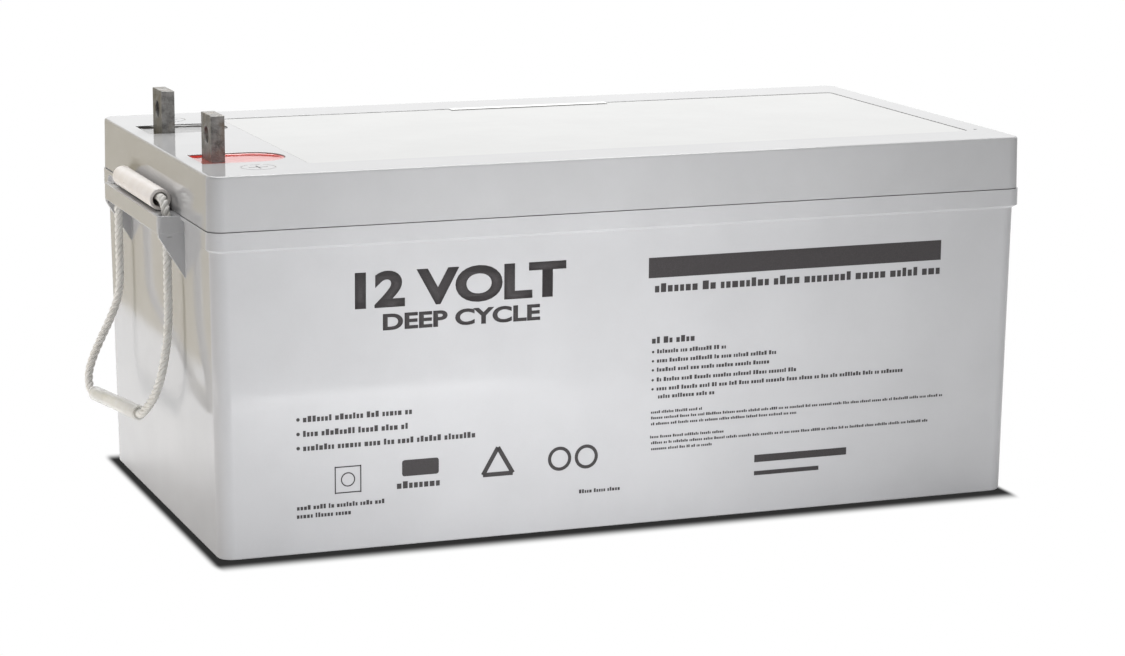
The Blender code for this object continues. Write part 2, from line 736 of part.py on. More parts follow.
def build_handle(end, name):
    """Rope, joining sleeve and grip tube of one end; the +X handle is the -X one turned round."""
    axis = bpy.data.objects.new(f"{name}_handle_slide", None)
    PARTS.objects.link(axis)
    axis.location = (end * ROPE_X, 0.0, SEAM_Z)
    axis.rotation_euler = (0.0, 0.0, 0.0 if end < 0 else math.pi)
    home = Vector((-ROPE_X, 0.0, SEAM_Z))

    points = [point - home for point in smooth_curve(rope_route(), ROPE_SPACING)]
    rope = rope_object(f"{name}_rope", points)
    rope.parent = axis

    lip = GRIP_R - GRIP_CHAMFER
    profile = ((GRIP_BORE_R, GRIP_HALF), (lip, GRIP_HALF), (GRIP_R, GRIP_HALF - GRIP_CHAMFER),
               (GRIP_R, GRIP_CHAMFER - GRIP_HALF), (lip, -GRIP_HALF), (GRIP_BORE_R, -GRIP_HALF))
    grip = turned(f"{name}_grip", profile_mesh(f"{name}_grip", profile, GRIP_WHITE, True))
    grip.location = (0.0, 0.0, GRIP_R + GAP / 2)
    grip.rotation_euler = (math.pi / 2, 0.0, 0.0)
    grip.parent = axis

    half = (SLEEVE_REAR - SLEEVE_FRONT).length / 2
    profile = ((SLEEVE_BORE_R, half), (SLEEVE_R, half), (SLEEVE_R, -half), (SLEEVE_BORE_R, -half))
    sleeve = turned(f"{name}_sleeve", profile_mesh(f"{name}_sleeve", profile, SLEEVE_CLEAR, True), 20)
    sleeve.location = (SLEEVE_REAR + SLEEVE_FRONT) / 2 - home
    direction = (SLEEVE_REAR - SLEEVE_FRONT).normalized()
    sleeve.rotation_euler = Vector((0, 0, 1)).rotation_difference(direction).to_euler()
    sleeve.parent = axis


# ---- the battery --------------------------------------------------------------------------------
def main():
    build_container()
    build_cover()
    build_plate()
    build_valves()
    build_terminal(-1, "positive_terminal", "red_sealing_resin", RED_RESIN)
    build_terminal(1, "negative_terminal", "black_sealing_resin", BLACK_RESIN)
    build_oring(-1, "positive_post_oring")
    build_oring(1, "negative_post_oring")
    build_cells()
    build_connectors()
    build_handle(-1, "left")
    build_handle(1, "right")


main()
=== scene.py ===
"""Deep cycle battery: the visual model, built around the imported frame.

Lengths are in metres in the row frame: +X along the case, -Y the printed front, +Z up, the origin at
the centre of the base. The terminals and the handle that the camera sees are at the -X end.
"""
import math

import bmesh
import bpy
import numpy as np
from mathutils import Matrix, Vector

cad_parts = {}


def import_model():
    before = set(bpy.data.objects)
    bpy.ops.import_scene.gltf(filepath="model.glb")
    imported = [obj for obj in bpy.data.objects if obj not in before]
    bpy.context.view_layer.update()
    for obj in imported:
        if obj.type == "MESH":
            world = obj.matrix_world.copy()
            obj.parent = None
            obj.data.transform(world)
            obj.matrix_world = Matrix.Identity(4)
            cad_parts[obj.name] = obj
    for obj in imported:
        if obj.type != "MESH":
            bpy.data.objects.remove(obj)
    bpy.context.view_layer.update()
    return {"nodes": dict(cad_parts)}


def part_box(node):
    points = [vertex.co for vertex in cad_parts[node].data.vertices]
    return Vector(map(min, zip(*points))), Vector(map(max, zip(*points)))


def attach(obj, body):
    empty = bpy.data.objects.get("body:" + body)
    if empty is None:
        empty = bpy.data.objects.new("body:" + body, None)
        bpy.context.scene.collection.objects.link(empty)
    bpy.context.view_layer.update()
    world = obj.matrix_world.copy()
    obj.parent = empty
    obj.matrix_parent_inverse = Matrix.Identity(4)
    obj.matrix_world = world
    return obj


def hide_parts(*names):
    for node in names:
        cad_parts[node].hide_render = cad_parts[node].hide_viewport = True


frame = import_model()

# ---- places read from the frame ----
COVER_LOW, COVER_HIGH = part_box("cover")
CASE_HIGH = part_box("container")[1]
PLATE_LOW, PLATE_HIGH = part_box("valve_cover_plate")
GRIP_LOW, GRIP_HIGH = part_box("left_grip")
HALF_LONG = COVER_HIGH[0]         # cover, half of the length
HALF_WIDE = COVER_HIGH[1]
COVER_BOTTOM = COVER_LOW[2]
TOP_Z = COVER_HIGH[2]
CASE_TOP = CASE_HIGH[2]
LEDGE_X = CASE_HIGH[0]

# ---- driving dimensions (as in the CAD model) ----
GAP = 0.0003
CORNER = 0.009
BASE_INSET = 0.004
BASE_EDGE = 0.0015
WALL_TOP_INSET = 0.0018
COLLAR_PROUD = 0.0005
COLLAR_HEIGHT = 0.010
WALL = 0.004
FLOOR = 0.004
LEDGE_THICK = 0.010
LEDGE_HALF = 0.069
CHEEK_THICK = 0.003
CHEEK_DROP = 0.0365
ROPE_X = 0.2566
ROPE_Y = 0.062
ROPE_HOLE_R = 0.0045
COVER_EDGE = 0.0016
COVER_DRAFT = 0.0004
ROOF_Z = 0.200
PLATE_THICK = 0.003
PLATE_CORNER = 0.004
PLATE_REBATE = 0.006
CHAMBER_FLOOR = 0.204
WELL_LEFT = -0.240
WELL_ARC_X = -0.207
WELL_Y = 0.065
WELL_R = 0.019
WELL_FLOOR = 0.209
RESIN_TOP = 0.2168
POST_X = -0.206
POST_R = 0.010
LUG_X = (-0.232, -0.224)
LUG_Y = (0.048, 0.071)
LUG_TOP = 0.243
FOOT_THICK = 0.005
BOLT_HOLE_R = 0.00475
BOLT_Z = 0.231
ROPE_TOP_Z = 0.1946
ROPE_BEND = 0.012
GRIP_R = 0.0062
GRIP_BORE_R = 0.0043
GRIP_HALF = 0.048
SLEEVE_R = 0.0044
SLEEVE_BORE_R = 0.0033
SLEEVE_REAR = Vector((-0.2772, 0.044, 0.0625))
SLEEVE_FRONT = Vector((-0.2684, -0.034, 0.0664))
POST_BOTTOM = 0.1783
ORING_R = 0.00135
CHIMNEY_R = 0.007                 # round the vent of each cell
CHIMNEY_TOP = 0.2115
VENT_R = 0.003
VENT_TOP = 0.2155
CELL_STEP = 0.1637
CELL_LONG = 0.1607
CELL_Y = 0.0643
CELL_WIDE = 0.1255

# visual details, finer than the CAD model or different from it
ARC_STEPS = 14                    # to a rounded vertical corner
LEDGE_CORNER = 0.0025             # crisper than the 6 mm of the CAD model
SEAM_EDGE = 0.0003                # rounding of the two edges at the seam
LEDGE_EDGE = 0.0005
PANEL_TOP = 0.0024                # end panel: its top edge below the seam
PANEL_END = 0.1185                # and how far it reaches towards the corner
PANEL_CORNER = 0.0075
STRAND_LAY = 0.0125               # one turn of a rope strand
FUSED_LENGTH = 0.034              # rear rope end, melted into a yellowish rod inside the sleeve
PLATE_GAP = 0.00025               # groove round the valve cover plate, on each side
RING_X, RING_Y = -0.214, 0.105    # polarity marks moulded on the cover
RING_R = 0.0098
MARK_WIDTH = 0.0010
MARK_DEPTH = 0.0005
MARK_ARM = 0.0055
ABOVE = 0.002                     # how far a cutter stands clear of the surface it cuts
HOLE_FLARE = 0.0006
COVER_DOT = (0.2385, -0.095)
LEDGE_DOT = (0.254, 0.0578)
CONNECTOR_Z = 0.173
CONNECTOR_HOLE_R = 0.0066
CREEP_GAP = 0.00012               # between the resin and the flag
PRINT_PROUD = 0.00006
PRINT_SUNK = 0.00002

# camera
EYE = Vector((-0.6765, -1.8316, 0.4826))
AZIMUTH, ELEVATION, ROLL = -20.451, 11.295, 0.221
LENS, SENSOR = 103.16, 36.0


# ---- mesh helpers ----
def link(obj):
    bpy.context.scene.collection.objects.link(obj)
    return obj


def mesh_object(name, bm, mat=None):
    bmesh.ops.recalc_face_normals(bm, faces=bm.faces)
    mesh = bpy.data.meshes.new(name)
    bm.to_mesh(mesh)
    bm.free()
    if mat is not None:
        mesh.materials.append(mat)
    return link(bpy.data.objects.new(name, mesh))


def apply_modifiers(obj):
    """Replace the mesh with what its modifiers make of it."""
    depsgraph = bpy.context.evaluated_depsgraph_get()
    mesh = bpy.data.meshes.new_from_object(obj.evaluated_get(depsgraph))
    obj.modifiers.clear()
    obj.data = mesh
    return obj


def boolean(obj, tool, operation="DIFFERENCE"):
    modifier = obj.modifiers.new("boolean", "BOOLEAN")
    modifier.operation = operation
    modifier.solver = "EXACT"
    modifier.object = tool
    apply_modifiers(obj)
    bpy.data.objects.remove(tool)


def bevel(obj, width, segments=2, degrees=40.0):
    modifier = obj.modifiers.new("bevel", "BEVEL")
    modifier.width = width
    modifier.segments = segments
    modifier.limit_method = "ANGLE"
    modifier.angle_limit = math.radians(degrees)
    modifier.use_clamp_overlap = True
    apply_modifiers(obj)


def shade(obj, degrees=38.0, weighted=True):
    """Smooth shading with sharp edges, and flat faces that stay flat."""
    mesh = obj.data
    bm = bmesh.new()
    bm.from_mesh(mesh)
    bmesh.ops.remove_doubles(bm, verts=bm.verts, dist=0.000002)
    bm.to_mesh(mesh)
    bm.free()
    mesh.shade_smooth()
    mesh.set_sharp_from_angle(angle=math.radians(degrees))
    if weighted:
        modifier = obj.modifiers.new("weighted", "WEIGHTED_NORMAL")
        modifier.keep_sharp = True
        modifier.weight = 90
    return obj


def rounded_rectangle(length, width, radius, steps=ARC_STEPS, centre=(0.0, 0.0)):
    """Counter-clockwise outline with a quarter circle at each corner."""
    points = []
    for sign_x, sign_y, start in ((1, 1, 0), (-1, 1, 90), (-1, -1, 180), (1, -1, 270)):
        arc_x = centre[0] + sign_x * (length / 2 - radius)
        arc_y = centre[1] + sign_y * (width / 2 - radius)
        for step in range(steps + 1):
            angle = math.radians(start + 90 * step / steps)
            points.append((arc_x + radius * math.cos(angle), arc_y + radius * math.sin(angle)))
    return points


def loft(bm, sections):
    """Closed solid through stacked outlines with the same number of points: (z, outline)."""
    rings = [[bm.verts.new((x, y, z)) for x, y in outline] for z, outline in sections]
    bm.faces.new(list(reversed(rings[0])))
    bm.faces.new(rings[-1])
    for lower, upper in zip(rings, rings[1:]):
        for index in range(len(lower)):
            after = (index + 1) % len(lower)
            bm.faces.new((lower[index], lower[after], upper[after], upper[index]))


def solid(name, sections, mat=None):
    bm = bmesh.new()
    loft(bm, sections)
    return mesh_object(name, bm, mat)


def box(bm, low, high):
    low = Vector(low)
    size = Vector(high) - low
    place = Matrix.Translation(low + size / 2) @ Matrix.Diagonal((size.x, size.y, size.z, 1.0))
    return bmesh.ops.create_cube(bm, size=1.0, matrix=place)["verts"]


def boxes(name, corners):
    bm = bmesh.new()
    for low, high in corners:
        box(bm, low, high)
    return mesh_object(name, bm)


def cylinder(bm, radius, start, end, segments):
    start = Vector(start)
    axis = Vector(end) - start
    turn = Vector((0, 0, 1)).rotation_difference(axis.normalized()).to_matrix().to_4x4()
    place = Matrix.Translation(start + axis / 2) @ turn
    bmesh.ops.create_cone(bm, cap_ends=True, segments=segments, radius1=radius,
                          radius2=radius, depth=axis.length, matrix=place)


def cylinders(name, runs, segments=48):
    bm = bmesh.new()
    for run in runs:
        cylinder(bm, *run, segments)
    return mesh_object(name, bm)


def extruded(bm, points, along):
    """A flat outline of 3-D points, pushed along a vector into a closed solid."""
    face = bm.faces.new([bm.verts.new(point) for point in points])
    grown = bmesh.ops.extrude_face_region(bm, geom=[face])["geom"]
    moved = [item for item in grown if isinstance(item, bmesh.types.BMVert)]
    bmesh.ops.translate(bm, verts=moved, vec=along)


def turned(name, profile, mat, segments=64):
    """Body of revolution about Z from a closed (radius, z) profile."""
    bm = bmesh.new()
    rings = []
    for step in range(segments):
        angle = 2 * math.pi * step / segments
        rings.append([bm.verts.new((r * math.cos(angle), r * math.sin(angle), z)) for r, z in profile])
    for index in range(segments):
        here, after = rings[index], rings[(index + 1) % segments]
        for point in range(len(profile)):
            other = (point + 1) % len(profile)
            bm.faces.new((here[point], after[point], after[other], here[other]))
    return mesh_object(name, bm, mat)


def quarter(centre, radius, start, end, steps):
    """Arc points (a, b) about a centre, from one angle to another."""
    points = []
    for step in range(steps + 1):
        angle = math.radians(start + (end - start) * step / steps)
        points.append((centre[0] + radius * math.cos(angle), centre[1] + radius * math.sin(angle)))
    return points


def rounding(radius, steps):
    """Quarter arc of a rounded edge, as pairs of distances from its two faces."""
    for step in range(steps + 1):
        angle = math.radians(90 * step / steps)
        yield radius * (1 - math.cos(angle)), radius * (1 - math.sin(angle))


def cell_centres():
    for side in (-1, 1):
        for column in range(3):
            yield column, side, (column - 1) * CELL_STEP, side * CELL_Y


# ---- material helpers ----
class Nodes:
    """One material and short ways to add nodes to it."""

    def __init__(self, name):
        self.mat = bpy.data.materials.new(name)
        self.mat.use_nodes = True
        self.tree = self.mat.node_tree

    def node(self, kind, inputs=(), **settings):
        node = self.tree.nodes.new(kind)
        for key, value in settings.items():
            setattr(node, key, value)
        for key, value in dict(inputs).items():
            if isinstance(value, bpy.types.NodeSocket):
                self.tree.links.new(value, node.inputs[key])
            else:
                node.inputs[key].default_value = value
        return node

    def object_place(self):
        return self.node("ShaderNodeTexCoord").outputs["Object"]

    def math(self, operation, first, second=0.5):
        return self.node("ShaderNodeMath", {0: first, 1: second}, operation=operation).outputs[0]

    def plus(self, first, second):
        return self.math("ADD", first, second)

    def times(self, first, second):
        return self.math("MULTIPLY", first, second)


class Finish(Nodes):
    """One procedural material around a Principled shader; patterns use object space, in metres."""

    def __init__(self, name, **constants):
        super().__init__(name)
        self.shader = self.tree.nodes["Principled BSDF"]
        for key, value in constants.items():
            self.shader.inputs[key.replace("_", " ")].default_value = value
        self.place = self.object_place()
        self.mat.diffuse_color = self.shader.inputs["Base Color"].default_value

    def stretched(self, scale):
        return self.node("ShaderNodeMapping", {"Vector": self.place, "Scale": scale}).outputs["Vector"]

    def noise(self, scale, detail=3.0, rough=0.55, vector=None):
        place = self.place if vector is None else vector
        return self.node("ShaderNodeTexNoise", {"Vector": place, "Scale": scale, "Detail": detail,
                                                "Roughness": rough}).outputs["Fac"]

    def cell_edges(self, scale):
        return self.node("ShaderNodeTexVoronoi", {"Vector": self.place, "Scale": scale},
                         feature="DISTANCE_TO_EDGE").outputs["Distance"]

    def span(self, value, low, high, start=0.0, end=1.0):
        """Map a value from one range to another, clamped."""
        return self.node("ShaderNodeMapRange", {"Value": value, "From Min": low, "From Max": high,
                                                "To Min": start, "To Max": end}).outputs["Result"]

    def mix(self, share, first, second):
        node = self.node("ShaderNodeMix", data_type="RGBA")
        for socket, value in zip((node.inputs[0], node.inputs[6], node.inputs[7]),
                                 (share, first, second)):
            if isinstance(value, bpy.types.NodeSocket):
                self.tree.links.new(value, socket)
            else:
                socket.default_value = value
        return node.outputs[2]

    def colour(self, socket):
        self.tree.links.new(socket, self.shader.inputs["Base Color"])

    def roughness(self, socket):
        self.tree.links.new(socket, self.shader.inputs["Roughness"])

    def bump(self, height, distance, strength):
        node = self.node("ShaderNodeBump", {"Height": height, "Distance": distance, "Strength": strength})
        self.tree.links.new(node.outputs["Normal"], self.shader.inputs["Normal"])


def grey(value, tint=(1.0, 1.0, 1.0)):
    return tuple(value * part for part in tint) + (1.0,)


def case_plastic(name, base, scuffs=0.5):
    """Glossy moulded ABS: faint mottling, a slight ripple, fine scuffs."""
    f = Finish(name, IOR=1.5)
    mottle = f.noise(22.0, 4.0)
    grain = f.noise(1500.0, 2.0)
    cloud = f.plus(f.span(mottle, 0.35, 0.65, 0.0, 0.7), f.span(grain, 0.3, 0.7, 0.0, 0.3))
    light = tuple(min(part * 1.03, 1.0) for part in base[:3]) + (1.0,)
    dark = tuple(part * 0.965 for part in base[:3]) + (1.0,)
    f.colour(f.mix(cloud, dark, light))
    streaks = f.noise(40.0, 5.0, 0.7, f.stretched((1.0, 1.0, 6.0)))
    f.roughness(f.span(streaks, 0.35, 0.75, 0.05, 0.05 + 0.08 * scuffs))
    ripple = f.plus(f.times(f.noise(28.0, 2.0), 0.25), f.times(grain, 0.03))
    f.bump(ripple, 0.0004, 0.2)
    return f.mat


def worn_lead(name):
    f = Finish(name, Metallic=0.85, IOR=1.5)
    patches = f.noise(160.0, 6.0, 0.65)
    speck = f.noise(1300.0, 4.0, 0.7)
    tone = f.mix(f.span(patches, 0.36, 0.66), grey(0.10, (1.0, 0.97, 0.92)), grey(0.30, (1.0, 0.98, 0.94)))
    brown = f.span(f.noise(95.0, 5.0, 0.6), 0.5, 0.72)
    tone = f.mix(f.times(brown, 0.65), tone, (0.16, 0.115, 0.065, 1.0))
    tone = f.mix(f.times(f.span(speck, 0.55, 0.75), 0.5), tone, grey(0.42))
    f.colour(tone)
    f.roughness(f.span(patches, 0.3, 0.7, 0.32, 0.62))
    height = f.plus(f.times(patches, 0.7), f.times(speck, 0.3))
    f.bump(height, 0.0007, 0.8)
    return f.mat


def resin(name, colour, deep):
    """Cast epoxy with a wavy glossy skin and cloudy pigment."""
    f = Finish(name, Roughness=0.06, IOR=1.54, Coat_Weight=0.5, Coat_Roughness=0.04)
    cloud = f.noise(140.0, 4.0, 0.6)
    f.colour(f.mix(f.span(cloud, 0.35, 0.68), deep, colour))
    height = f.plus(f.noise(150.0, 2.0), f.times(f.noise(900.0, 2.0), 0.06))
    f.bump(height, 0.0005, 0.5)
    return f.mat


def rope_fibre(name):
    """Twisted polypropylene yarn: fine filaments along each strand."""
    f = Finish(name, Roughness=0.55, IOR=1.48, Sheen_Weight=0.3, Sheen_Roughness=0.4)
    uv = f.node("ShaderNodeTexCoord").outputs["UV"]
    along = f.node("ShaderNodeMapping", {"Vector": uv, "Scale": (9.0, 130.0, 1.0),
                                         "Rotation": (0.0, 0.0, 0.35)}).outputs["Vector"]
    yarn = f.node("ShaderNodeTexNoise", {"Vector": along, "Scale": 3.0, "Detail": 3.0}).outputs["Fac"]
    fine = f.noise(2600.0, 2.0)
    grime = f.noise(60.0, 4.0)
    tone = f.mix(f.span(yarn, 0.3, 0.7), (0.70, 0.68, 0.63, 1.0), (0.93, 0.92, 0.89, 1.0))
    tone = f.mix(f.times(f.span(grime, 0.5, 0.75), 0.35), tone, (0.66, 0.61, 0.51, 1.0))
    length = f.node("ShaderNodeSeparateXYZ", {"Vector": uv}).outputs["Y"]
    melted = f.span(length, FUSED_LENGTH - 0.001, FUSED_LENGTH + 0.001, 1.0, 0.0)
    f.colour(f.mix(melted, tone, (0.78, 0.75, 0.58, 1.0)))
    f.bump(f.plus(f.times(yarn, 0.8), f.times(fine, 0.2)), 0.0003, 0.6)
    return f.mat


def grip_plastic(name):
    f = Finish(name, IOR=1.5)
    cloud = f.noise(70.0, 4.0)
    streak = f.noise(160.0, 3.0, 0.6, f.stretched((1.0, 0.08, 1.0)))
    tone = f.mix(f.span(cloud, 0.3, 0.7), (0.84, 0.79, 0.75, 1.0), (0.92, 0.885, 0.86, 1.0))
    f.colour(tone)
    f.roughness(f.span(streak, 0.3, 0.7, 0.24, 0.45))
    f.bump(f.plus(streak, f.times(f.noise(900.0), 0.2)), 0.0004, 0.4)
    return f.mat


def sleeve_plastic(name):
    """Milky clear tube over the joint of the rope."""
    f = Finish(name, Roughness=0.22, IOR=1.46, Alpha=0.55)
    cloud = f.noise(160.0, 3.0)
    f.colour(f.mix(f.span(cloud, 0.3, 0.7), (0.90, 0.885, 0.82, 1.0), (0.97, 0.965, 0.94, 1.0)))
    f.bump(f.plus(f.noise(240.0, 2.0), f.times(f.noise(1500.0), 0.1)), 0.0004, 0.4)
    return f.mat


def plain_pattern(name, dark, light, scale, rough=(0.5, 0.8), metallic=0.0, height=0.0003):
    """Mottled finish for pieces inside the case."""
    f = Finish(name, Metallic=metallic)
    cloud = f.noise(scale, 5.0, 0.6)
    fine = f.noise(scale * 9, 3.0)
    f.colour(f.mix(f.span(cloud, 0.32, 0.68), dark, light))
    f.roughness(f.span(fine, 0.3, 0.7, *rough))
    f.bump(f.plus(cloud, f.times(fine, 0.5)), height, 0.6)
    return f.mat


def plate_paste(name, dark, light):
    """Pasted lead grid: the wires show faintly through the active material."""
    f = Finish(name)
    grid = f.cell_edges(240.0)
    cloud = f.noise(300.0, 5.0)
    tone = f.mix(f.span(cloud, 0.3, 0.7), dark, light)
    f.colour(f.mix(f.span(grid, 0.0, 0.12, 0.5, 0.0), tone, grey(0.35)))
    f.roughness(f.span(cloud, 0.3, 0.7, 0.6, 0.9))
    f.bump(f.plus(cloud, f.span(grid, 0.0, 0.15)), 0.0004, 0.7)
    return f.mat


def print_ink(name, colour):
    """Screen-printed ink with slight gloss changes and pinholes."""
    f = Finish(name, IOR=1.5)
    speck = f.noise(3200.0, 2.0)
    lighter = tuple(min(1.0, part * 1.6 + 0.01) for part in colour[:3]) + (1.0,)
    f.colour(f.mix(f.span(speck, 0.45, 0.8), colour, lighter))
    f.roughness(f.span(f.noise(500.0), 0.3, 0.7, 0.28, 0.45))
    f.bump(speck, 0.00008, 0.4)
    return f.mat


CASE = case_plastic("case_grey", grey(0.56, (0.985, 0.985, 1.0)), 0.6)
COVER = case_plastic("cover_grey", grey(0.53, (0.99, 0.99, 1.0)), 0.3)
PLATE = case_plastic("plate_grey", grey(0.58, (1.0, 1.0, 0.985)), 0.8)
LEAD = worn_lead("worn_lead")
RED = resin("red_epoxy", (0.72, 0.055, 0.035, 1.0), (0.60, 0.025, 0.015, 1.0))
BLACK = resin("black_epoxy", (0.030, 0.024, 0.018, 1.0), (0.012, 0.010, 0.008, 1.0))
ROPE = rope_fibre("white_rope")
GRIP = grip_plastic("white_grip")
SLEEVE = sleeve_plastic("clear_sleeve")
PAPER = print_ink("paper_white", (0.86, 0.86, 0.85, 1.0))
INK = print_ink("dark_ink", (0.030, 0.026, 0.027, 1.0))


# ---- container ----
def wall_inset(z):
    """Draft of the container walls: inset from the cover outline at a height."""
    share = (z - BASE_EDGE) / (CASE_TOP - COLLAR_HEIGHT - 0.002 - BASE_EDGE)
    return BASE_INSET + (WALL_TOP_INSET - BASE_INSET) * share


def section(z, inset, radius=CORNER):
    return z, rounded_rectangle(2 * (HALF_LONG - inset), 2 * (HALF_WIDE - inset), radius)


def container_walls():
    sections = [section(rise, BASE_INSET + inset, CORNER - inset) for rise, inset in rounding(BASE_EDGE, 4)]
    sections.append(section(CASE_TOP, wall_inset(CASE_TOP)))
    return solid("case_shell", sections, CASE)


def end_panel(end, side):
    """Cutter for the shallow panel beside a ledge: it leaves only a thin lip of the collar above."""
    top = CASE_TOP - PANEL_TOP
    near = LEDGE_HALF - 0.004
    low = CASE_TOP - COLLAR_HEIGHT - 0.004
    outline = [(near, low), (PANEL_END, low)]
    outline += quarter((PANEL_END - PANEL_CORNER, top - PANEL_CORNER), PANEL_CORNER, 0, 90, 8)
    outline += [(near, top + 0.0004)]
    bm = bmesh.new()
    inner = end * (HALF_LONG - 0.004)
    extruded(bm, [(inner, side * y, z) for y, z in outline], (end * 0.006, 0.0, 0.0))
    return mesh_object("end_panel", bm)


def collar():
    """Band under the seam, its lower and upper edges rounded, thinned out on the end walls."""
    foot = CASE_TOP - COLLAR_HEIGHT
    outer = solid("collar", (section(foot - 0.0016, 0.0014), section(foot, -COLLAR_PROUD),
                             section(CASE_TOP, -COLLAR_PROUD)))
    inner = solid("collar_inner", (section(foot - 0.01, 0.0026), section(CASE_TOP + 0.01, 0.0026)))
    boolean(outer, inner)
    for end in (-1, 1):
        for side in (-1, 1):
            boolean(outer, end_panel(end, side))
    bevel(outer, SEAM_EDGE, 3, 25.0)
    return outer


def ledge(end):
    """Handle ledge: a thick plate with round outer corners and rounded edges."""
    inner = HALF_LONG - 0.006
    reach = LEDGE_X - inner
    sections = [(CASE_TOP - LEDGE_THICK + rise, inset) for rise, inset in rounding(LEDGE_EDGE, 4)]
    sections += [(CASE_TOP - drop, inset) for inset, drop in rounding(LEDGE_EDGE, 4)]
    stack = []
    for z, inset in sections:
        outline = rounded_rectangle(2 * (reach - inset), 2 * (LEDGE_HALF - inset), LEDGE_CORNER - inset, 8,
                                    (inner, 0.0))
        kept = [(x, y) for x, y in outline if x > inner]
        front = [point for point in kept if point[1] < 0]
        rear = [point for point in kept if point[1] > 0]
        whole = [(inner, LEDGE_HALF - inset), (inner, inset - LEDGE_HALF), *front, *rear]
        stack.append((z, [(end * x, y) for x, y in whole]))
    return solid("ledge", stack)


def cheeks(end):
    """Two triangular gussets under the ends of a ledge."""
    inner = HALF_LONG - 0.006
    under = CASE_TOP - LEDGE_THICK
    outer = LEDGE_X - 0.0005
    foot = CASE_TOP - CHEEK_DROP
    outline = ((inner, under + 0.003), (outer, under + 0.003), (outer, under - 0.0016),
               (HALF_LONG - wall_inset(foot), foot), (inner, foot - 0.002))
    bm = bmesh.new()
    for side in (-1, 1):
        near = side * (LEDGE_HALF - 0.0002)
        far = side * (LEDGE_HALF - CHEEK_THICK)
        extruded(bm, [(end * x, near, z) for x, z in outline], (0.0, far - near, 0.0))
    obj = mesh_object("cheeks", bm)
    bevel(obj, 0.0004, 2)
    return obj


def cell_pockets(bottom, top):
    corners = []
    for _, _, x, y in cell_centres():
        corners.append(((x - CELL_LONG / 2, y - CELL_WIDE / 2, bottom),
                        (x + CELL_LONG / 2, y + CELL_WIDE / 2, top)))
    return boxes("pockets", corners)


def plate_rests():
    """Ribs on the floor of the cells, two under each column."""
    corners = []
    for column in range(3):
        for side in (-1, 1):
            x = (column - 1) * CELL_STEP + side * 0.050
            corners.append(((x - 0.002, 0.002 - HALF_WIDE + WALL, FLOOR - 0.001),
                            (x + 0.002, HALF_WIDE - WALL - 0.002, FLOOR + 0.0047)))
    return boxes("plate_rests", corners)


def hole_cutter(x, y, radius, bottom, top, segments=48):
    """Bore with a flared rim at both ends."""
    bm = bmesh.new()
    rim = radius + HOLE_FLARE
    sections = ((bottom - ABOVE, rim + ABOVE), (bottom, rim), (bottom + HOLE_FLARE, radius),
                (top - HOLE_FLARE, radius), (top, rim), (top + ABOVE, rim + ABOVE))
    circle = [2 * math.pi * step / segments for step in range(segments)]
    loft(bm, [(z, [(x + r * math.cos(a), y + r * math.sin(a)) for a in circle]) for z, r in sections])
    return mesh_object("hole", bm)


def connector_holes():
    z = CONNECTOR_Z
    r = CONNECTOR_HOLE_R
    runs = []
    for side in (-1, 1):
        for wall in (-1, 1):
            x, y = wall * CELL_STEP / 2, side * CELL_Y
            runs.append((r, (x - 0.006, y, z), (x + 0.006, y, z)))
    x = CELL_STEP + 0.044
    runs.append((r, (x, -0.006, z), (x, 0.006, z)))
    return cylinders("connector_holes", runs)


def build_container():
    body = container_walls()
    boolean(body, collar(), "UNION")
    for end in (-1, 1):
        boolean(body, ledge(end), "UNION")
        boolean(body, cheeks(end), "UNION")
    boolean(body, cell_pockets(FLOOR, CASE_TOP + 0.01))
    boolean(body, plate_rests(), "UNION")
    for end in (-1, 1):
        for side in (-1, 1):
            boolean(body, hole_cutter(end * ROPE_X, side * ROPE_Y, ROPE_HOLE_R, CASE_TOP - LEDGE_THICK,
                                      CASE_TOP))
            x, y = end * LEDGE_DOT[0], side * LEDGE_DOT[1]
            dot = (0.0008, (x, y, CASE_TOP - 0.0015), (x, y, CASE_TOP + 0.01))
            boolean(body, cylinders("dot", [dot], 20))
    boolean(body, connector_holes())
    body.name = "case_body"
    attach(shade(body), "root")
    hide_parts("container")


# ---- cover ----
def plate_outline(inset):
    centre = ((PLATE_LOW[0] + PLATE_HIGH[0]) / 2, 0.0)
    return rounded_rectangle(PLATE_HIGH[0] - PLATE_LOW[0] - 2 * inset, 2 * (PLATE_HIGH[1] - inset),
                             PLATE_CORNER - min(inset, 0.003), 6, centre)


def well_outline(side, inset):
    """Square at the terminal's end, half round over the post."""
    radius = WELL_R - inset
    y = side * WELL_Y
    points = [(WELL_LEFT + inset, y + radius), (WELL_LEFT + inset, y - radius)]
    return points + quarter((WELL_ARC_X, y), radius, -90, 90, 24)


def flared(name, outline, bottom, edge):
    """Cutter that opens out in a small arc where it leaves the top of the cover."""
    sections = [(bottom, outline(0.0))]
    sections += [(TOP_Z - drop, outline(-spread)) for spread, drop in rounding(edge, 3)]
    sections.append((TOP_Z + 0.004, outline(-edge)))
    return solid(name, sections)


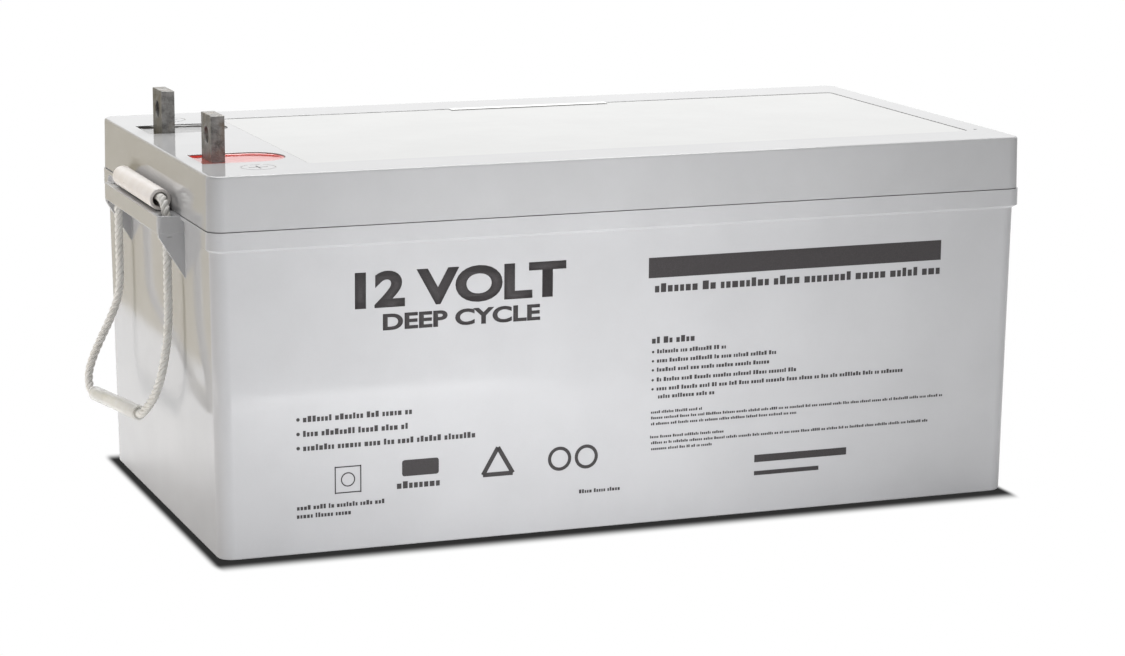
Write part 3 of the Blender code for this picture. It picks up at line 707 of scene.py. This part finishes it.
def polarity_mark(side):
    """Cutters of an engraved ring with a plus (front) or a minus (rear) in it."""
    y = side * RING_Y
    half = MARK_WIDTH / 2
    outer = RING_R + half
    inner = RING_R - half
    profile = ((RING_R - 0.2 * half, -MARK_DEPTH), (outer, 0.0), (outer, ABOVE), (inner, ABOVE),
               (inner, 0.0))
    ring = turned("polarity_ring", profile, None, 72)
    ring.data.transform(Matrix.Translation((RING_X, y, TOP_Z)))
    cutters = [ring]
    spans = [((RING_X - MARK_ARM, y - half), (RING_X + MARK_ARM, y + half))]
    if side < 0:
        spans.append(((RING_X - half, y - MARK_ARM), (RING_X + half, y + MARK_ARM)))
    for (x1, y1), (x2, y2) in spans:
        cutters.append(boxes("polarity_stroke", [((x1, y1, TOP_Z - MARK_DEPTH), (x2, y2, TOP_Z + ABOVE))]))
    return cutters


def build_cover():
    sections = [section(COVER_BOTTOM + rise, inset, CORNER - inset)
                for rise, inset in rounding(SEAM_EDGE, 3)]
    for inset, drop in rounding(COVER_EDGE, 6):
        inset += COVER_DRAFT
        sections.append(section(TOP_Z - drop, inset, CORNER - inset))
    body = solid("cover_shell", sections, COVER)
    boolean(body, cell_pockets(COVER_BOTTOM - 0.01, ROOF_Z))
    seat = TOP_Z - PLATE_THICK - 2 * GAP
    boolean(body, flared("recess", lambda inset: plate_outline(inset - PLATE_GAP), seat, 0.0003))
    boolean(body, solid("chamber", ((CHAMBER_FLOOR, plate_outline(PLATE_REBATE)),
                                    (TOP_Z + 0.01, plate_outline(PLATE_REBATE)))))
    chimneys = []
    bores = []
    for _, _, x, y in cell_centres():
        chimneys.append((CHIMNEY_R, (x, y, CHAMBER_FLOOR - 0.002), (x, y, CHIMNEY_TOP)))
        bores.append((VENT_R, (x, y, ROOF_Z - 0.004), (x, y, VENT_TOP)))
    boolean(body, cylinders("chimneys", chimneys, 32), "UNION")
    for side in (-1, 1):
        well = flared("well", lambda inset, side=side: well_outline(side, inset), WELL_FLOOR, 0.0004)
        boolean(body, well)
        y = side * WELL_Y
        bores.append((POST_R + GAP, (POST_X, y, ROOF_Z - 0.004), (POST_X, y, WELL_FLOOR - 0.001)))
        seat_r = POST_R + 2 * ORING_R + 3 * GAP
        boolean(body, cylinders("oring_seat", [(seat_r, (POST_X, y, WELL_FLOOR - 0.0034),
                                                (POST_X, y, WELL_FLOOR + 0.002))]))
        for cutter in polarity_mark(side):
            boolean(body, cutter)
    boolean(body, cylinders("bores", bores, 32))
    x, y = COVER_DOT
    boolean(body, cylinders("dot", [(0.0012, (x, y, TOP_Z - 0.002), (x, y, TOP_Z + 0.01))]))
    body.name = "cover_body"
    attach(shade(body), "root")
    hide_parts("cover")


def build_plate():
    """Valve cover plate with a softly rounded rim."""
    low, high = PLATE_LOW[2], PLATE_HIGH[2]
    edge = 0.0004
    sections = [(low, plate_outline(PLATE_GAP))]
    sections += [(high - drop, plate_outline(PLATE_GAP + inset)) for inset, drop in rounding(edge, 3)]
    plate = solid("top_plate", sections, PLATE)
    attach(shade(plate), "root")
    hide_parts("valve_cover_plate")


# ---- terminals ----
def build_terminal(side, node):
    """Cast flag with rounded edges, on a foot and post under the resin."""
    near, far = sorted(side * value for value in LUG_Y)
    foot_z = WELL_FLOOR + 2 * GAP
    bm = bmesh.new()
    box(bm, (LUG_X[0], near, foot_z), (LUG_X[1], far, LUG_TOP))
    flag = mesh_object(f"{node}_flag", bm, LEAD)
    bevel(flag, 0.0005, 3)
    boolean(flag, boxes("foot", [((LUG_X[0] + 0.001, near + 0.0005, foot_z + 0.0002),
                                  (POST_X, far - 0.0005, foot_z + FOOT_THICK))]), "UNION")
    y = side * WELL_Y
    boolean(flag, cylinders("post", [(POST_R, (POST_X, y, POST_BOTTOM), (POST_X, y, foot_z + FOOT_THICK))]),
            "UNION")
    middle = side * sum(LUG_Y) / 2
    hole = hole_cutter(0.0, 0.0, BOLT_HOLE_R, *LUG_X, 56)
    along_x = ((0.0, 0.0, 1.0, 0.0), (1.0, 0.0, 0.0, middle), (0.0, 1.0, 0.0, BOLT_Z), (0.0, 0.0, 0.0, 1.0))
    hole.data.transform(Matrix(along_x))
    boolean(flag, hole)
    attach(shade(flag, 45.0), "root")
    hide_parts(node)


def build_resin(side, node, mat):
    """Sealing resin: it creeps up the wall of the well, and fits closely round the flag."""
    near, far = sorted(side * value for value in LUG_Y)
    sections = [(WELL_FLOOR + GAP, well_outline(side, GAP))]
    creep = ((GAP, 0.0005), (0.0006, 0.00028), (0.0011, 0.00010), (0.0018, 0.0), (0.004, -0.0001))
    for inset, rise in creep:
        sections.append((RESIN_TOP + rise, well_outline(side, inset)))
    body = solid(f"{node}_pool", sections, mat)
    y = side * WELL_Y
    foot_z = WELL_FLOOR + 2 * GAP
    boolean(body, boxes("foot", [((LUG_X[0] - GAP, near - GAP, foot_z - GAP),
                                  (POST_X, far + GAP, foot_z + FOOT_THICK + GAP))]))
    boolean(body, boxes("flag", [((LUG_X[0] - CREEP_GAP, near - CREEP_GAP, foot_z - GAP),
                                  (LUG_X[1] + CREEP_GAP, far + CREEP_GAP, LUG_TOP))]))
    post_top = foot_z + FOOT_THICK + GAP
    boolean(body, cylinders("post", [(POST_R + GAP, (POST_X, y, ROOF_Z), (POST_X, y, post_top))]))
    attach(shade(body, 50.0, False), "root")
    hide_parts(node)


# ---- rope handles ----
def sleeve_point(share):
    return SLEEVE_REAR.lerp(SLEEVE_FRONT, share)


def bend_points(bend_y, bend_z, side):
    points = []
    for degrees in (25, 50, 75):
        angle = math.radians(degrees)
        points.append(Vector((-ROPE_X, side * (bend_y + ROPE_BEND * math.cos(angle)),
                              bend_z + ROPE_BEND * math.sin(angle))))
    points.append(Vector((-ROPE_X, side * bend_y, ROPE_TOP_Z)))
    return points


def rope_route():
    """The rope of the -X handle from its end in the sleeve, up, through the grip and back."""
    bend_z = ROPE_TOP_Z - ROPE_BEND
    bend_y = ROPE_Y - ROPE_BEND
    route = [sleeve_point(share) for share in (0.46, 0.28, 0.12, -0.03)]
    route += [Vector(point) for point in (
        (-0.2783, 0.0545, 0.0645), (-0.2775, 0.0597, 0.0722), (-0.2742, 0.0616, 0.0815),
        (-0.2693, 0.0620, 0.0920), (-0.2638, 0.0620, 0.1030), (-0.2592, 0.0620, 0.1140),
        (-0.2570, 0.0620, 0.1245))]
    route += [Vector((-ROPE_X, ROPE_Y, z)) for z in (0.134, 0.146, 0.158, 0.170, bend_z)]
    route += bend_points(bend_y, bend_z, 1)
    route += [Vector((-ROPE_X, y, ROPE_TOP_Z)) for y in (0.036, 0.018, 0.0, -0.018, -0.036)]
    route += list(reversed(bend_points(bend_y, bend_z, -1)))
    route += [Vector((-ROPE_X, -ROPE_Y, z)) for z in (bend_z, 0.170, 0.158, 0.146, 0.134)]
    route += [Vector(point) for point in (
        (-0.2569, -0.0620, 0.1230), (-0.2578, -0.0617, 0.1120), (-0.2594, -0.0608, 0.1015),
        (-0.2611, -0.0585, 0.0915), (-0.2630, -0.0540, 0.0822), (-0.2650, -0.0482, 0.0750),
        (-0.2669, -0.0420, 0.0696))]
    route += [sleeve_point(share) for share in (1.03, 0.88, 0.72, 0.54)]
    return route


def smooth_curve(points, spacing):
    """Points at an even spacing on a Catmull-Rom curve through the given ones."""
    padded = [2 * points[0] - points[1], *points, 2 * points[-1] - points[-2]]
    dense = []
    for index in range(1, len(padded) - 2):
        before, start, end, after = padded[index - 1:index + 3]
        for step in range(12):
            t = step / 12
            dense.append(0.5 * (2 * start + (end - before) * t
                                + (2 * before - 5 * start + 4 * end - after) * t ** 2
                                + (3 * start - before - 3 * end + after) * t ** 3))
    dense.append(points[-1])
    line = np.array([tuple(point) for point in dense])
    along = np.concatenate([[0.0], np.cumsum(np.linalg.norm(np.diff(line, axis=0), axis=1))])
    marks = np.linspace(0.0, along[-1], round(along[-1] / spacing) + 1)
    return np.stack([np.interp(marks, along, line[:, axis]) for axis in range(3)], axis=1)


def half_turned(points):
    """The +X handle is the -X one turned half round the centre of the case."""
    return [(-x, -y, z) for x, y, z in points]


def frames_along(line):
    """Tangent and two normals at each point, carried along without twist."""
    tangents = np.gradient(line, axis=0)
    tangents /= np.linalg.norm(tangents, axis=1)[:, None]
    normal = np.cross(tangents[0], (0.0, 0.0, 1.0))
    normal /= np.linalg.norm(normal)
    first, second = [], []
    for tangent in tangents:
        normal = normal - tangent * normal.dot(tangent)
        normal /= np.linalg.norm(normal)
        first.append(normal)
        second.append(np.cross(tangent, normal))
    return np.array(first), np.array(second)


def twisted_rope(name, line, mat):
    """Three strands laid round one another, and melted into one rod at the start of the line."""
    first, second = frames_along(line)
    step = float(np.linalg.norm(line[1] - line[0]))
    sides = 10
    bm = bmesh.new()
    uv_layer = bm.loops.layers.uv.new("UVMap")
    for strand in range(3):
        rings = []
        for index, centre in enumerate(line):
            travelled = index * step
            loose = min(1.0, max(0.0, (travelled - FUSED_LENGTH) / 0.004))
            turn = 2 * math.pi * (travelled / STRAND_LAY + strand / 3)
            out = math.cos(turn) * first[index] + math.sin(turn) * second[index]
            side = -math.sin(turn) * first[index] + math.cos(turn) * second[index]
            ring = []
            for corner in range(sides):
                angle = 2 * math.pi * corner / sides
                laid = out * (0.00128 + 0.00135 * math.cos(angle)) + side * 0.00158 * math.sin(angle)
                melted = out * (0.0006 + 0.0018 * math.cos(angle)) + side * 0.0021 * math.sin(angle)
                ring.append(bm.verts.new(centre + laid * loose + melted * (1.0 - loose)))
            rings.append(ring)
        for index in range(len(rings) - 1):
            for corner in range(sides):
                after = (corner + 1) % sides
                face = bm.faces.new((rings[index][corner], rings[index][after],
                                     rings[index + 1][after], rings[index + 1][corner]))
                places = ((corner, index), (corner + 1, index), (corner + 1, index + 1), (corner, index + 1))
                for loop, (u, v) in zip(face.loops, places):
                    loop[uv_layer].uv = (u / sides, v * step)
        bm.faces.new(list(reversed(rings[0])))
        bm.faces.new(rings[-1])
    rope = mesh_object(name, bm, mat)
    rope.data.shade_smooth()
    rope.data.set_sharp_from_angle(angle=math.radians(60))
    return rope


def grip_tube(name):
    """Thick-walled tube with well rounded lips."""
    lip = 0.0005
    profile = [(GRIP_BORE_R + lip * (1 - math.sin(math.radians(a))),
                GRIP_HALF - lip + lip * math.cos(math.radians(a))) for a in (90, 60, 30, 0)]
    profile += quarter((GRIP_R - lip, GRIP_HALF - lip), lip, 90, 0, 5)
    profile += quarter((GRIP_R - lip, lip - GRIP_HALF), lip, 0, -90, 5)
    profile += [(GRIP_BORE_R + lip * (1 - math.sin(math.radians(a))),
                 lip - GRIP_HALF - lip * math.cos(math.radians(a))) for a in (0, 30, 60, 90)]
    return turned(name, profile, GRIP)


def sleeve_tube(name):
    """Clear tube with chamfered lips."""
    half = (SLEEVE_REAR - SLEEVE_FRONT).length / 2
    edge = 0.0004
    profile = [(SLEEVE_BORE_R, half - edge), (SLEEVE_BORE_R + edge, half), (SLEEVE_R - edge, half),
               (SLEEVE_R, half - edge)]
    profile += [(r, -z) for r, z in reversed(profile)]
    return turned(name, profile, SLEEVE, 48)


def build_handle(end, name):
    line = smooth_curve(rope_route(), 0.0011)
    if end > 0:
        line = np.array(half_turned(line))
    turn = Matrix.Identity(4) if end < 0 else Matrix.Rotation(math.pi, 4, "Z")
    rope = twisted_rope(f"{name}_rope_laid", line, ROPE)
    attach(rope, f"{name}_rope_handle")
    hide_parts(f"{name}_rope")

    sleeve = sleeve_tube(f"{name}_joining_sleeve")
    direction = (SLEEVE_REAR - SLEEVE_FRONT).normalized()
    spin = Vector((0, 0, 1)).rotation_difference(direction).to_matrix().to_4x4()
    place = turn @ Matrix.Translation((SLEEVE_REAR + SLEEVE_FRONT) / 2) @ spin
    sleeve.data.transform(place)
    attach(shade(sleeve, 50.0, False), f"{name}_rope_handle")
    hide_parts(f"{name}_sleeve")

    grip = grip_tube(f"{name}_grip_tube_body")
    middle = Vector((end * ROPE_X, 0.0, (GRIP_LOW[2] + GRIP_HIGH[2]) / 2))
    grip.data.transform(Matrix.Translation(middle) @ Matrix.Rotation(math.pi / 2, 4, "X"))
    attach(shade(grip, 50.0, False), f"{name}_grip_tube")
    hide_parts(f"{name}_grip")


# ---- print on the front wall ----
def on_wall(z):
    """The point of the drafted front wall at a height, in the middle of its length."""
    return Vector((0.0, wall_inset(z) - HALF_WIDE, z))


def wall_matrix():
    """Takes a drawing in millimetres (x, height) to the front wall."""
    base = on_wall(0.0)
    up = (on_wall(0.1) - base).normalized()
    right = Vector((1.0, 0.0, 0.0))
    out = right.cross(up)
    scale = 0.001
    return Matrix(((right.x * scale, up.x * scale, out.x, base.x),
                   (right.y * scale, up.y * scale, out.y, base.y),
                   (right.z * scale, up.z * scale, out.z, base.z),
                   (0.0, 0.0, 0.0, 1.0)))


class Sheet:
    """Flat shapes drawn in millimetres, made into one thin closed layer of ink."""

    def __init__(self):
        self.bm = bmesh.new()

    def polygon(self, points):
        self.bm.faces.new([self.bm.verts.new((x, y, 0.0)) for x, y in points])

    def bar(self, x, y, length, height, radius):
        centre = (x + length / 2, y + height / 2)
        self.polygon(rounded_rectangle(length, height, radius, 3, centre))

    def ring(self, x, y, outer, inner, steps=40):
        for step in range(steps):
            start = 2 * math.pi * step / steps
            end = 2 * math.pi * (step + 1) / steps
            self.polygon([(x + radius * math.cos(angle), y + radius * math.sin(angle))
                          for radius, angle in ((outer, start), (outer, end), (inner, end), (inner, start))])

    def stroke(self, start, end, width):
        start = Vector(start)
        end = Vector(end)
        side = (end - start).normalized().orthogonal() * width / 2
        self.polygon([start + side, start - side, end - side, end + side])

    def block(self, x, y, length, height):
        self.polygon([(x, y), (x + length, y), (x + length, y + height), (x, y + height)])

    def words(self, x, y, length, height, seed, fill=0.62):
        """A greeked line: words of small upright blocks, some as tall as the line."""
        rng = np.random.default_rng(seed)
        place = x
        while place < x + length - height:
            for _ in range(int(rng.integers(2, 9))):
                wide = height * fill * float(rng.uniform(0.6, 1.0))
                if place + wide > x + length:
                    break
                tall = height if rng.random() < 0.3 else 0.74 * height
                self.block(place, y, wide, tall)
                place += wide + 0.2 * height
            place += 0.42 * height

    def text(self, words, x, y, width, height, weight):
        """Plain capitals from the built-in font, stretched to a width and height."""
        curve = bpy.data.curves.new("text", "FONT")
        curve.body = words
        curve.offset = weight
        curve.resolution_u = 6
        obj = link(bpy.data.objects.new("text", curve))
        depsgraph = bpy.context.evaluated_depsgraph_get()
        mesh = bpy.data.meshes.new_from_object(obj.evaluated_get(depsgraph))
        points = np.array([vert.co for vert in mesh.vertices])
        low, high = points.min(axis=0), points.max(axis=0)
        scale = Matrix.Diagonal((width / (high[0] - low[0]), height / (high[1] - low[1]), 1.0, 1.0))
        mesh.transform(Matrix.Translation((x, y, 0.0)) @ scale @ Matrix.Translation((-low[0], -low[1], 0.0)))
        self.bm.from_mesh(mesh)
        bpy.data.objects.remove(obj)
        bpy.data.curves.remove(curve)
        bpy.data.meshes.remove(mesh)

    def finish(self, name):
        bmesh.ops.remove_doubles(self.bm, verts=self.bm.verts, dist=0.001)
        for face in self.bm.faces:
            if face.normal.z < 0:
                face.normal_flip()
        grown = bmesh.ops.extrude_face_region(self.bm, geom=self.bm.faces[:])["geom"]
        moved = [item for item in grown if isinstance(item, bmesh.types.BMVert)]
        bmesh.ops.translate(self.bm, verts=moved, vec=(0.0, 0.0, PRINT_PROUD + PRINT_SUNK))
        bmesh.ops.translate(self.bm, verts=self.bm.verts, vec=(0.0, 0.0, -PRINT_SUNK))
        self.bm.transform(wall_matrix())
        obj = mesh_object(name, self.bm, INK)
        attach(obj, "root")


def print_title():
    sheet = Sheet()
    sheet.text("12 VOLT", -166.9, 139.0, 126.0, 21.2, 0.045)
    sheet.text("DEEP CYCLE", -150.6, 126.0, 94.0, 9.6, 0.035)
    sheet.finish("title_print")


def print_band():
    """A plain square-ended band, with a greeked line under it."""
    sheet = Sheet()
    sheet.block(10.0, 146.2, 188.0, 12.0)
    sheet.words(14.0, 137.6, 188.0, 5.2, 3, 0.75)
    sheet.finish("band_print")


def print_notes():
    """Greeked lines where the real case carries text."""
    sheet = Sheet()
    sheet.words(12.6, 107.4, 28.0, 3.9, 11, 0.75)
    lines = ((101.4, 43.5), (95.9, 78.9), (90.5, 72.4), (84.6, 91.3), (79.2, 160.4))
    for index, (z, length) in enumerate(lines):
        sheet.ring(13.4, z + 1.0, 0.75, 0.0001, steps=16)
        sheet.words(15.9, z, length, 2.5, 20 + index)
    sheet.words(16.9, 74.4, 38.0, 2.5, 31)
    small = ((12.6, 65.6, 33.0), (12.7, 62.2, 191.0), (12.7, 58.6, 93.0), (12.2, 50.8, 47.0),
             (12.9, 47.2, 180.0), (13.0, 43.6, 38.7))
    for index, (x, z, length) in enumerate(small):
        sheet.words(x, z, length, 1.7, 40 + index)
    for index, (z, length) in enumerate(((76.6, 64.1), (68.2, 63.0), (60.0, 107.4))):
        sheet.ring(-200.5, z + 1.7, 1.05, 0.0001, steps=18)
        sheet.words(-197.6, z, length, 3.5, 50 + index)
    sheet.words(-201.5, 25.8, 53.0, 2.7, 61)
    sheet.words(-201.6, 21.0, 33.5, 2.7, 62)
    sheet.words(-31.8, 21.4, 26.8, 2.3, 63)
    sheet.finish("notes_print")


def print_symbols():
    """Plain shapes in place of the marks."""
    sheet = Sheet()
    for start, end in (((-179.0, 34.0), (-164.0, 34.0)), ((-179.0, 49.0), (-164.0, 49.0)),
                       ((-179.0, 33.5), (-179.0, 49.5)), ((-164.0, 33.5), (-164.0, 49.5))):
        sheet.stroke(start, end, 0.7)
    sheet.ring(-171.5, 41.5, 4.2, 3.5)
    sheet.bar(-139.5, 40.5, 22.0, 9.5, 1.5)
    sheet.words(-142.6, 33.4, 31.2, 4.2, 71, 0.8)
    corners = [(-81.8 + 10.5 * math.cos(math.radians(a)), 42.5 + 10.5 * math.sin(math.radians(a)))
               for a in (90, 210, 330)]
    for index in range(3):
        sheet.stroke(corners[index], corners[(index + 1) % 3], 2.6)
    sheet.ring(-44.0, 43.2, 7.2, 5.2)
    sheet.ring(-27.5, 43.2, 7.2, 5.2)
    sheet.block(79.0, 31.0, 60.0, 4.5)
    sheet.block(79.0, 23.0, 42.0, 2.6)
    sheet.finish("symbols_print")


def blank_label():
    """A blank pale strip stuck on the cover plate, near its rear edge."""
    low = (-0.034, 0.0935, TOP_Z - PRINT_SUNK)
    high = (0.072, 0.1010, TOP_Z + PRINT_PROUD)
    label = boxes("blank_label", [(low, high)])
    label.data.materials.append(PAPER)
    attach(label, "root")


# ---- pieces inside the case ----
def dress_inner_nodes():
    """Better materials on the CAD pieces that stay."""
    paste_dark = (0.055, 0.022, 0.012, 1.0)
    paste_light = (0.12, 0.05, 0.028, 1.0)
    looks = {
        "positive_plates": plate_paste("positive_paste", paste_dark, paste_light),
        "negative_plates": plate_paste("negative_paste", grey(0.16), grey(0.27, (0.97, 0.99, 1.0))),
        "separator": plain_pattern("glass_mat", grey(0.62), grey(0.82), 500.0, (0.8, 0.95)),
        "cell_connector": worn_lead("cast_connector"),
        "valve_cap": plain_pattern("valve_rubber", grey(0.012), grey(0.03), 400.0, (0.55, 0.75)),
        "positive_post_oring": plain_pattern("oring_rubber", grey(0.01), grey(0.02), 600.0, (0.4, 0.6)),
        "negative_post_oring": plain_pattern("oring_rubber_rear", grey(0.01), grey(0.02), 600.0, (0.4, 0.6)),
    }
    for node, obj in frame["nodes"].items():
        for stem, mat in looks.items():
            if node.startswith(stem):
                obj.data.materials.clear()
                obj.data.materials.append(mat)


# ---- studio ----
def glow(name, colour):
    """Even light of one colour: the material's nodes and its emission node."""
    nodes = Nodes(name)
    nodes.tree.nodes.clear()
    emission = nodes.node("ShaderNodeEmission", {"Color": (*colour, 1.0), "Strength": 1.0})
    nodes.node("ShaderNodeOutputMaterial", {"Surface": emission.outputs[0]})
    return nodes, emission


def contact_shade(nodes, emission):
    """Darken the floor in a narrow soft band where it meets the base of the case."""
    place = nodes.object_place()
    parts = nodes.node("ShaderNodeSeparateXYZ", {"Vector": place}).outputs
    reach = []
    for axis, centre, half, blur in (("X", -0.0020, HALF_LONG - BASE_INSET, 0.0065),
                                     ("Y", -0.0040, HALF_WIDE - BASE_INSET, 0.021)):
        away = nodes.math("ABSOLUTE", nodes.math("SUBTRACT", parts[axis], centre))
        away = nodes.math("MAXIMUM", nodes.math("SUBTRACT", away, half), 0.0)
        reach.append(nodes.math("POWER", nodes.math("DIVIDE", away, blur), 2.0))
    total = nodes.math("SQRT", nodes.plus(*reach))
    ramp = nodes.node("ShaderNodeMapRange", {"Value": total, "To Min": 0.03, "To Max": 1.0},
                      interpolation_type="SMOOTHERSTEP")
    nodes.tree.links.new(ramp.outputs["Result"], emission.inputs["Strength"])


def disc(name, radius, z, mat):
    bm = bmesh.new()
    bmesh.ops.create_circle(bm, cap_ends=True, segments=96, radius=radius,
                            matrix=Matrix.Translation((0.0, 0.0, z)))
    obj = mesh_object(name, bm, mat)
    return obj


def seen_by(obj, camera=False, diffuse=False, glossy=False):
    obj.visible_camera = camera
    obj.visible_diffuse = diffuse
    obj.visible_glossy = glossy
    obj.visible_transmission = camera
    obj.visible_shadow = False


def floor_and_backdrop():
    """A white floor that runs into a white backdrop, and a second one that lights the case from below."""
    white = (1.0, 1.0, 1.0)
    nodes, emission = glow("floor_white", white)
    contact_shade(nodes, emission)
    seen_by(disc("floor", 12.0, -0.0002, nodes.mat), camera=True)
    bounce = Finish("bounce_white", Base_Color=grey(0.9), Specular_IOR_Level=0.0)
    seen_by(disc("bounce_floor", 3.0, -0.0004, bounce.mat), diffuse=True, glossy=True)

    bm = bmesh.new()
    bmesh.ops.create_uvsphere(bm, u_segments=32, v_segments=16, radius=12.0)
    backdrop = mesh_object("backdrop", bm, glow("backdrop_white", white)[0].mat)
    seen_by(backdrop, camera=True, glossy=True)


def reflected_room():
    """A warm board beside the terminal end, which only shows as a reflection in the glossy case."""
    bm = bmesh.new()
    x = -HALF_LONG - 0.112
    corners = ((x, 0.238, 0.0), (x, 2.0, 0.0), (x, 2.0, 0.9), (x, 0.238, 0.9))
    bm.faces.new([bm.verts.new(point) for point in corners])
    board = mesh_object("warm_board", bm, glow("warm_board", (0.50, 0.43, 0.27))[0].mat)
    seen_by(board, glossy=True)


def light(name, place, target, size, power, colour=(1.0, 1.0, 1.0)):
    data = bpy.data.lights.new(name, "AREA")
    data.shape = "SQUARE"
    data.size = size
    data.energy = power
    data.color = colour
    obj = link(bpy.data.objects.new(name, data))
    obj.location = place
    obj.rotation_euler = (Vector(target) - Vector(place)).to_track_quat("-Z", "Y").to_euler()
    obj.visible_camera = False
    return obj


def world(strength):
    scene = bpy.context.scene
    scene.world = bpy.data.worlds.new("studio")
    scene.world.use_nodes = True
    background = scene.world.node_tree.nodes["Background"]
    background.inputs["Color"].default_value = (1.0, 1.0, 1.0, 1.0)
    background.inputs["Strength"].default_value = strength


def camera():
    data = bpy.data.cameras.new("camera")
    data.lens = LENS
    data.sensor_width = SENSOR
    data.clip_start = 0.05
    data.clip_end = 60.0
    obj = link(bpy.data.objects.new("camera", data))
    azimuth = math.radians(AZIMUTH)
    elevation = math.radians(ELEVATION)
    forward = Vector((-math.sin(azimuth) * math.cos(elevation), math.cos(azimuth) * math.cos(elevation),
                      -math.sin(elevation)))
    turn = forward.to_track_quat("-Z", "Y").to_matrix().to_4x4()
    obj.matrix_world = Matrix.Translation(EYE) @ turn @ Matrix.Rotation(math.radians(ROLL), 4, "Z")
    bpy.context.scene.camera = obj
    bpy.context.scene.view_settings.view_transform = "Standard"


def studio():
    floor_and_backdrop()
    reflected_room()
    world(0.22)
    light("overhead", (0.1, 0.60, 1.6), (0.0, 0.0, 0.2), 1.4, 34.0)
    front = light("front", (-0.06, -0.50, 0.055), (-0.06, 0.0, 0.055), 0.24, 1.20, (0.98, 0.985, 1.0))
    front.visible_glossy = False
    end = light("end", (-0.66, 0.0, 0.02), (-0.25, 0.0, 0.02), 0.20, 0.72, (1.0, 0.95, 0.90))
    end.visible_glossy = False


# ---- the battery ----
camera()
build_handle(-1, "left")
build_handle(1, "right")
build_container()
build_cover()
build_plate()
build_terminal(-1, "positive_terminal")
build_terminal(1, "negative_terminal")
build_resin(-1, "red_sealing_resin", RED)
build_resin(1, "black_sealing_resin", BLACK)
print_title()
print_band()
print_notes()
print_symbols()
blank_label()
dress_inner_nodes()
studio()
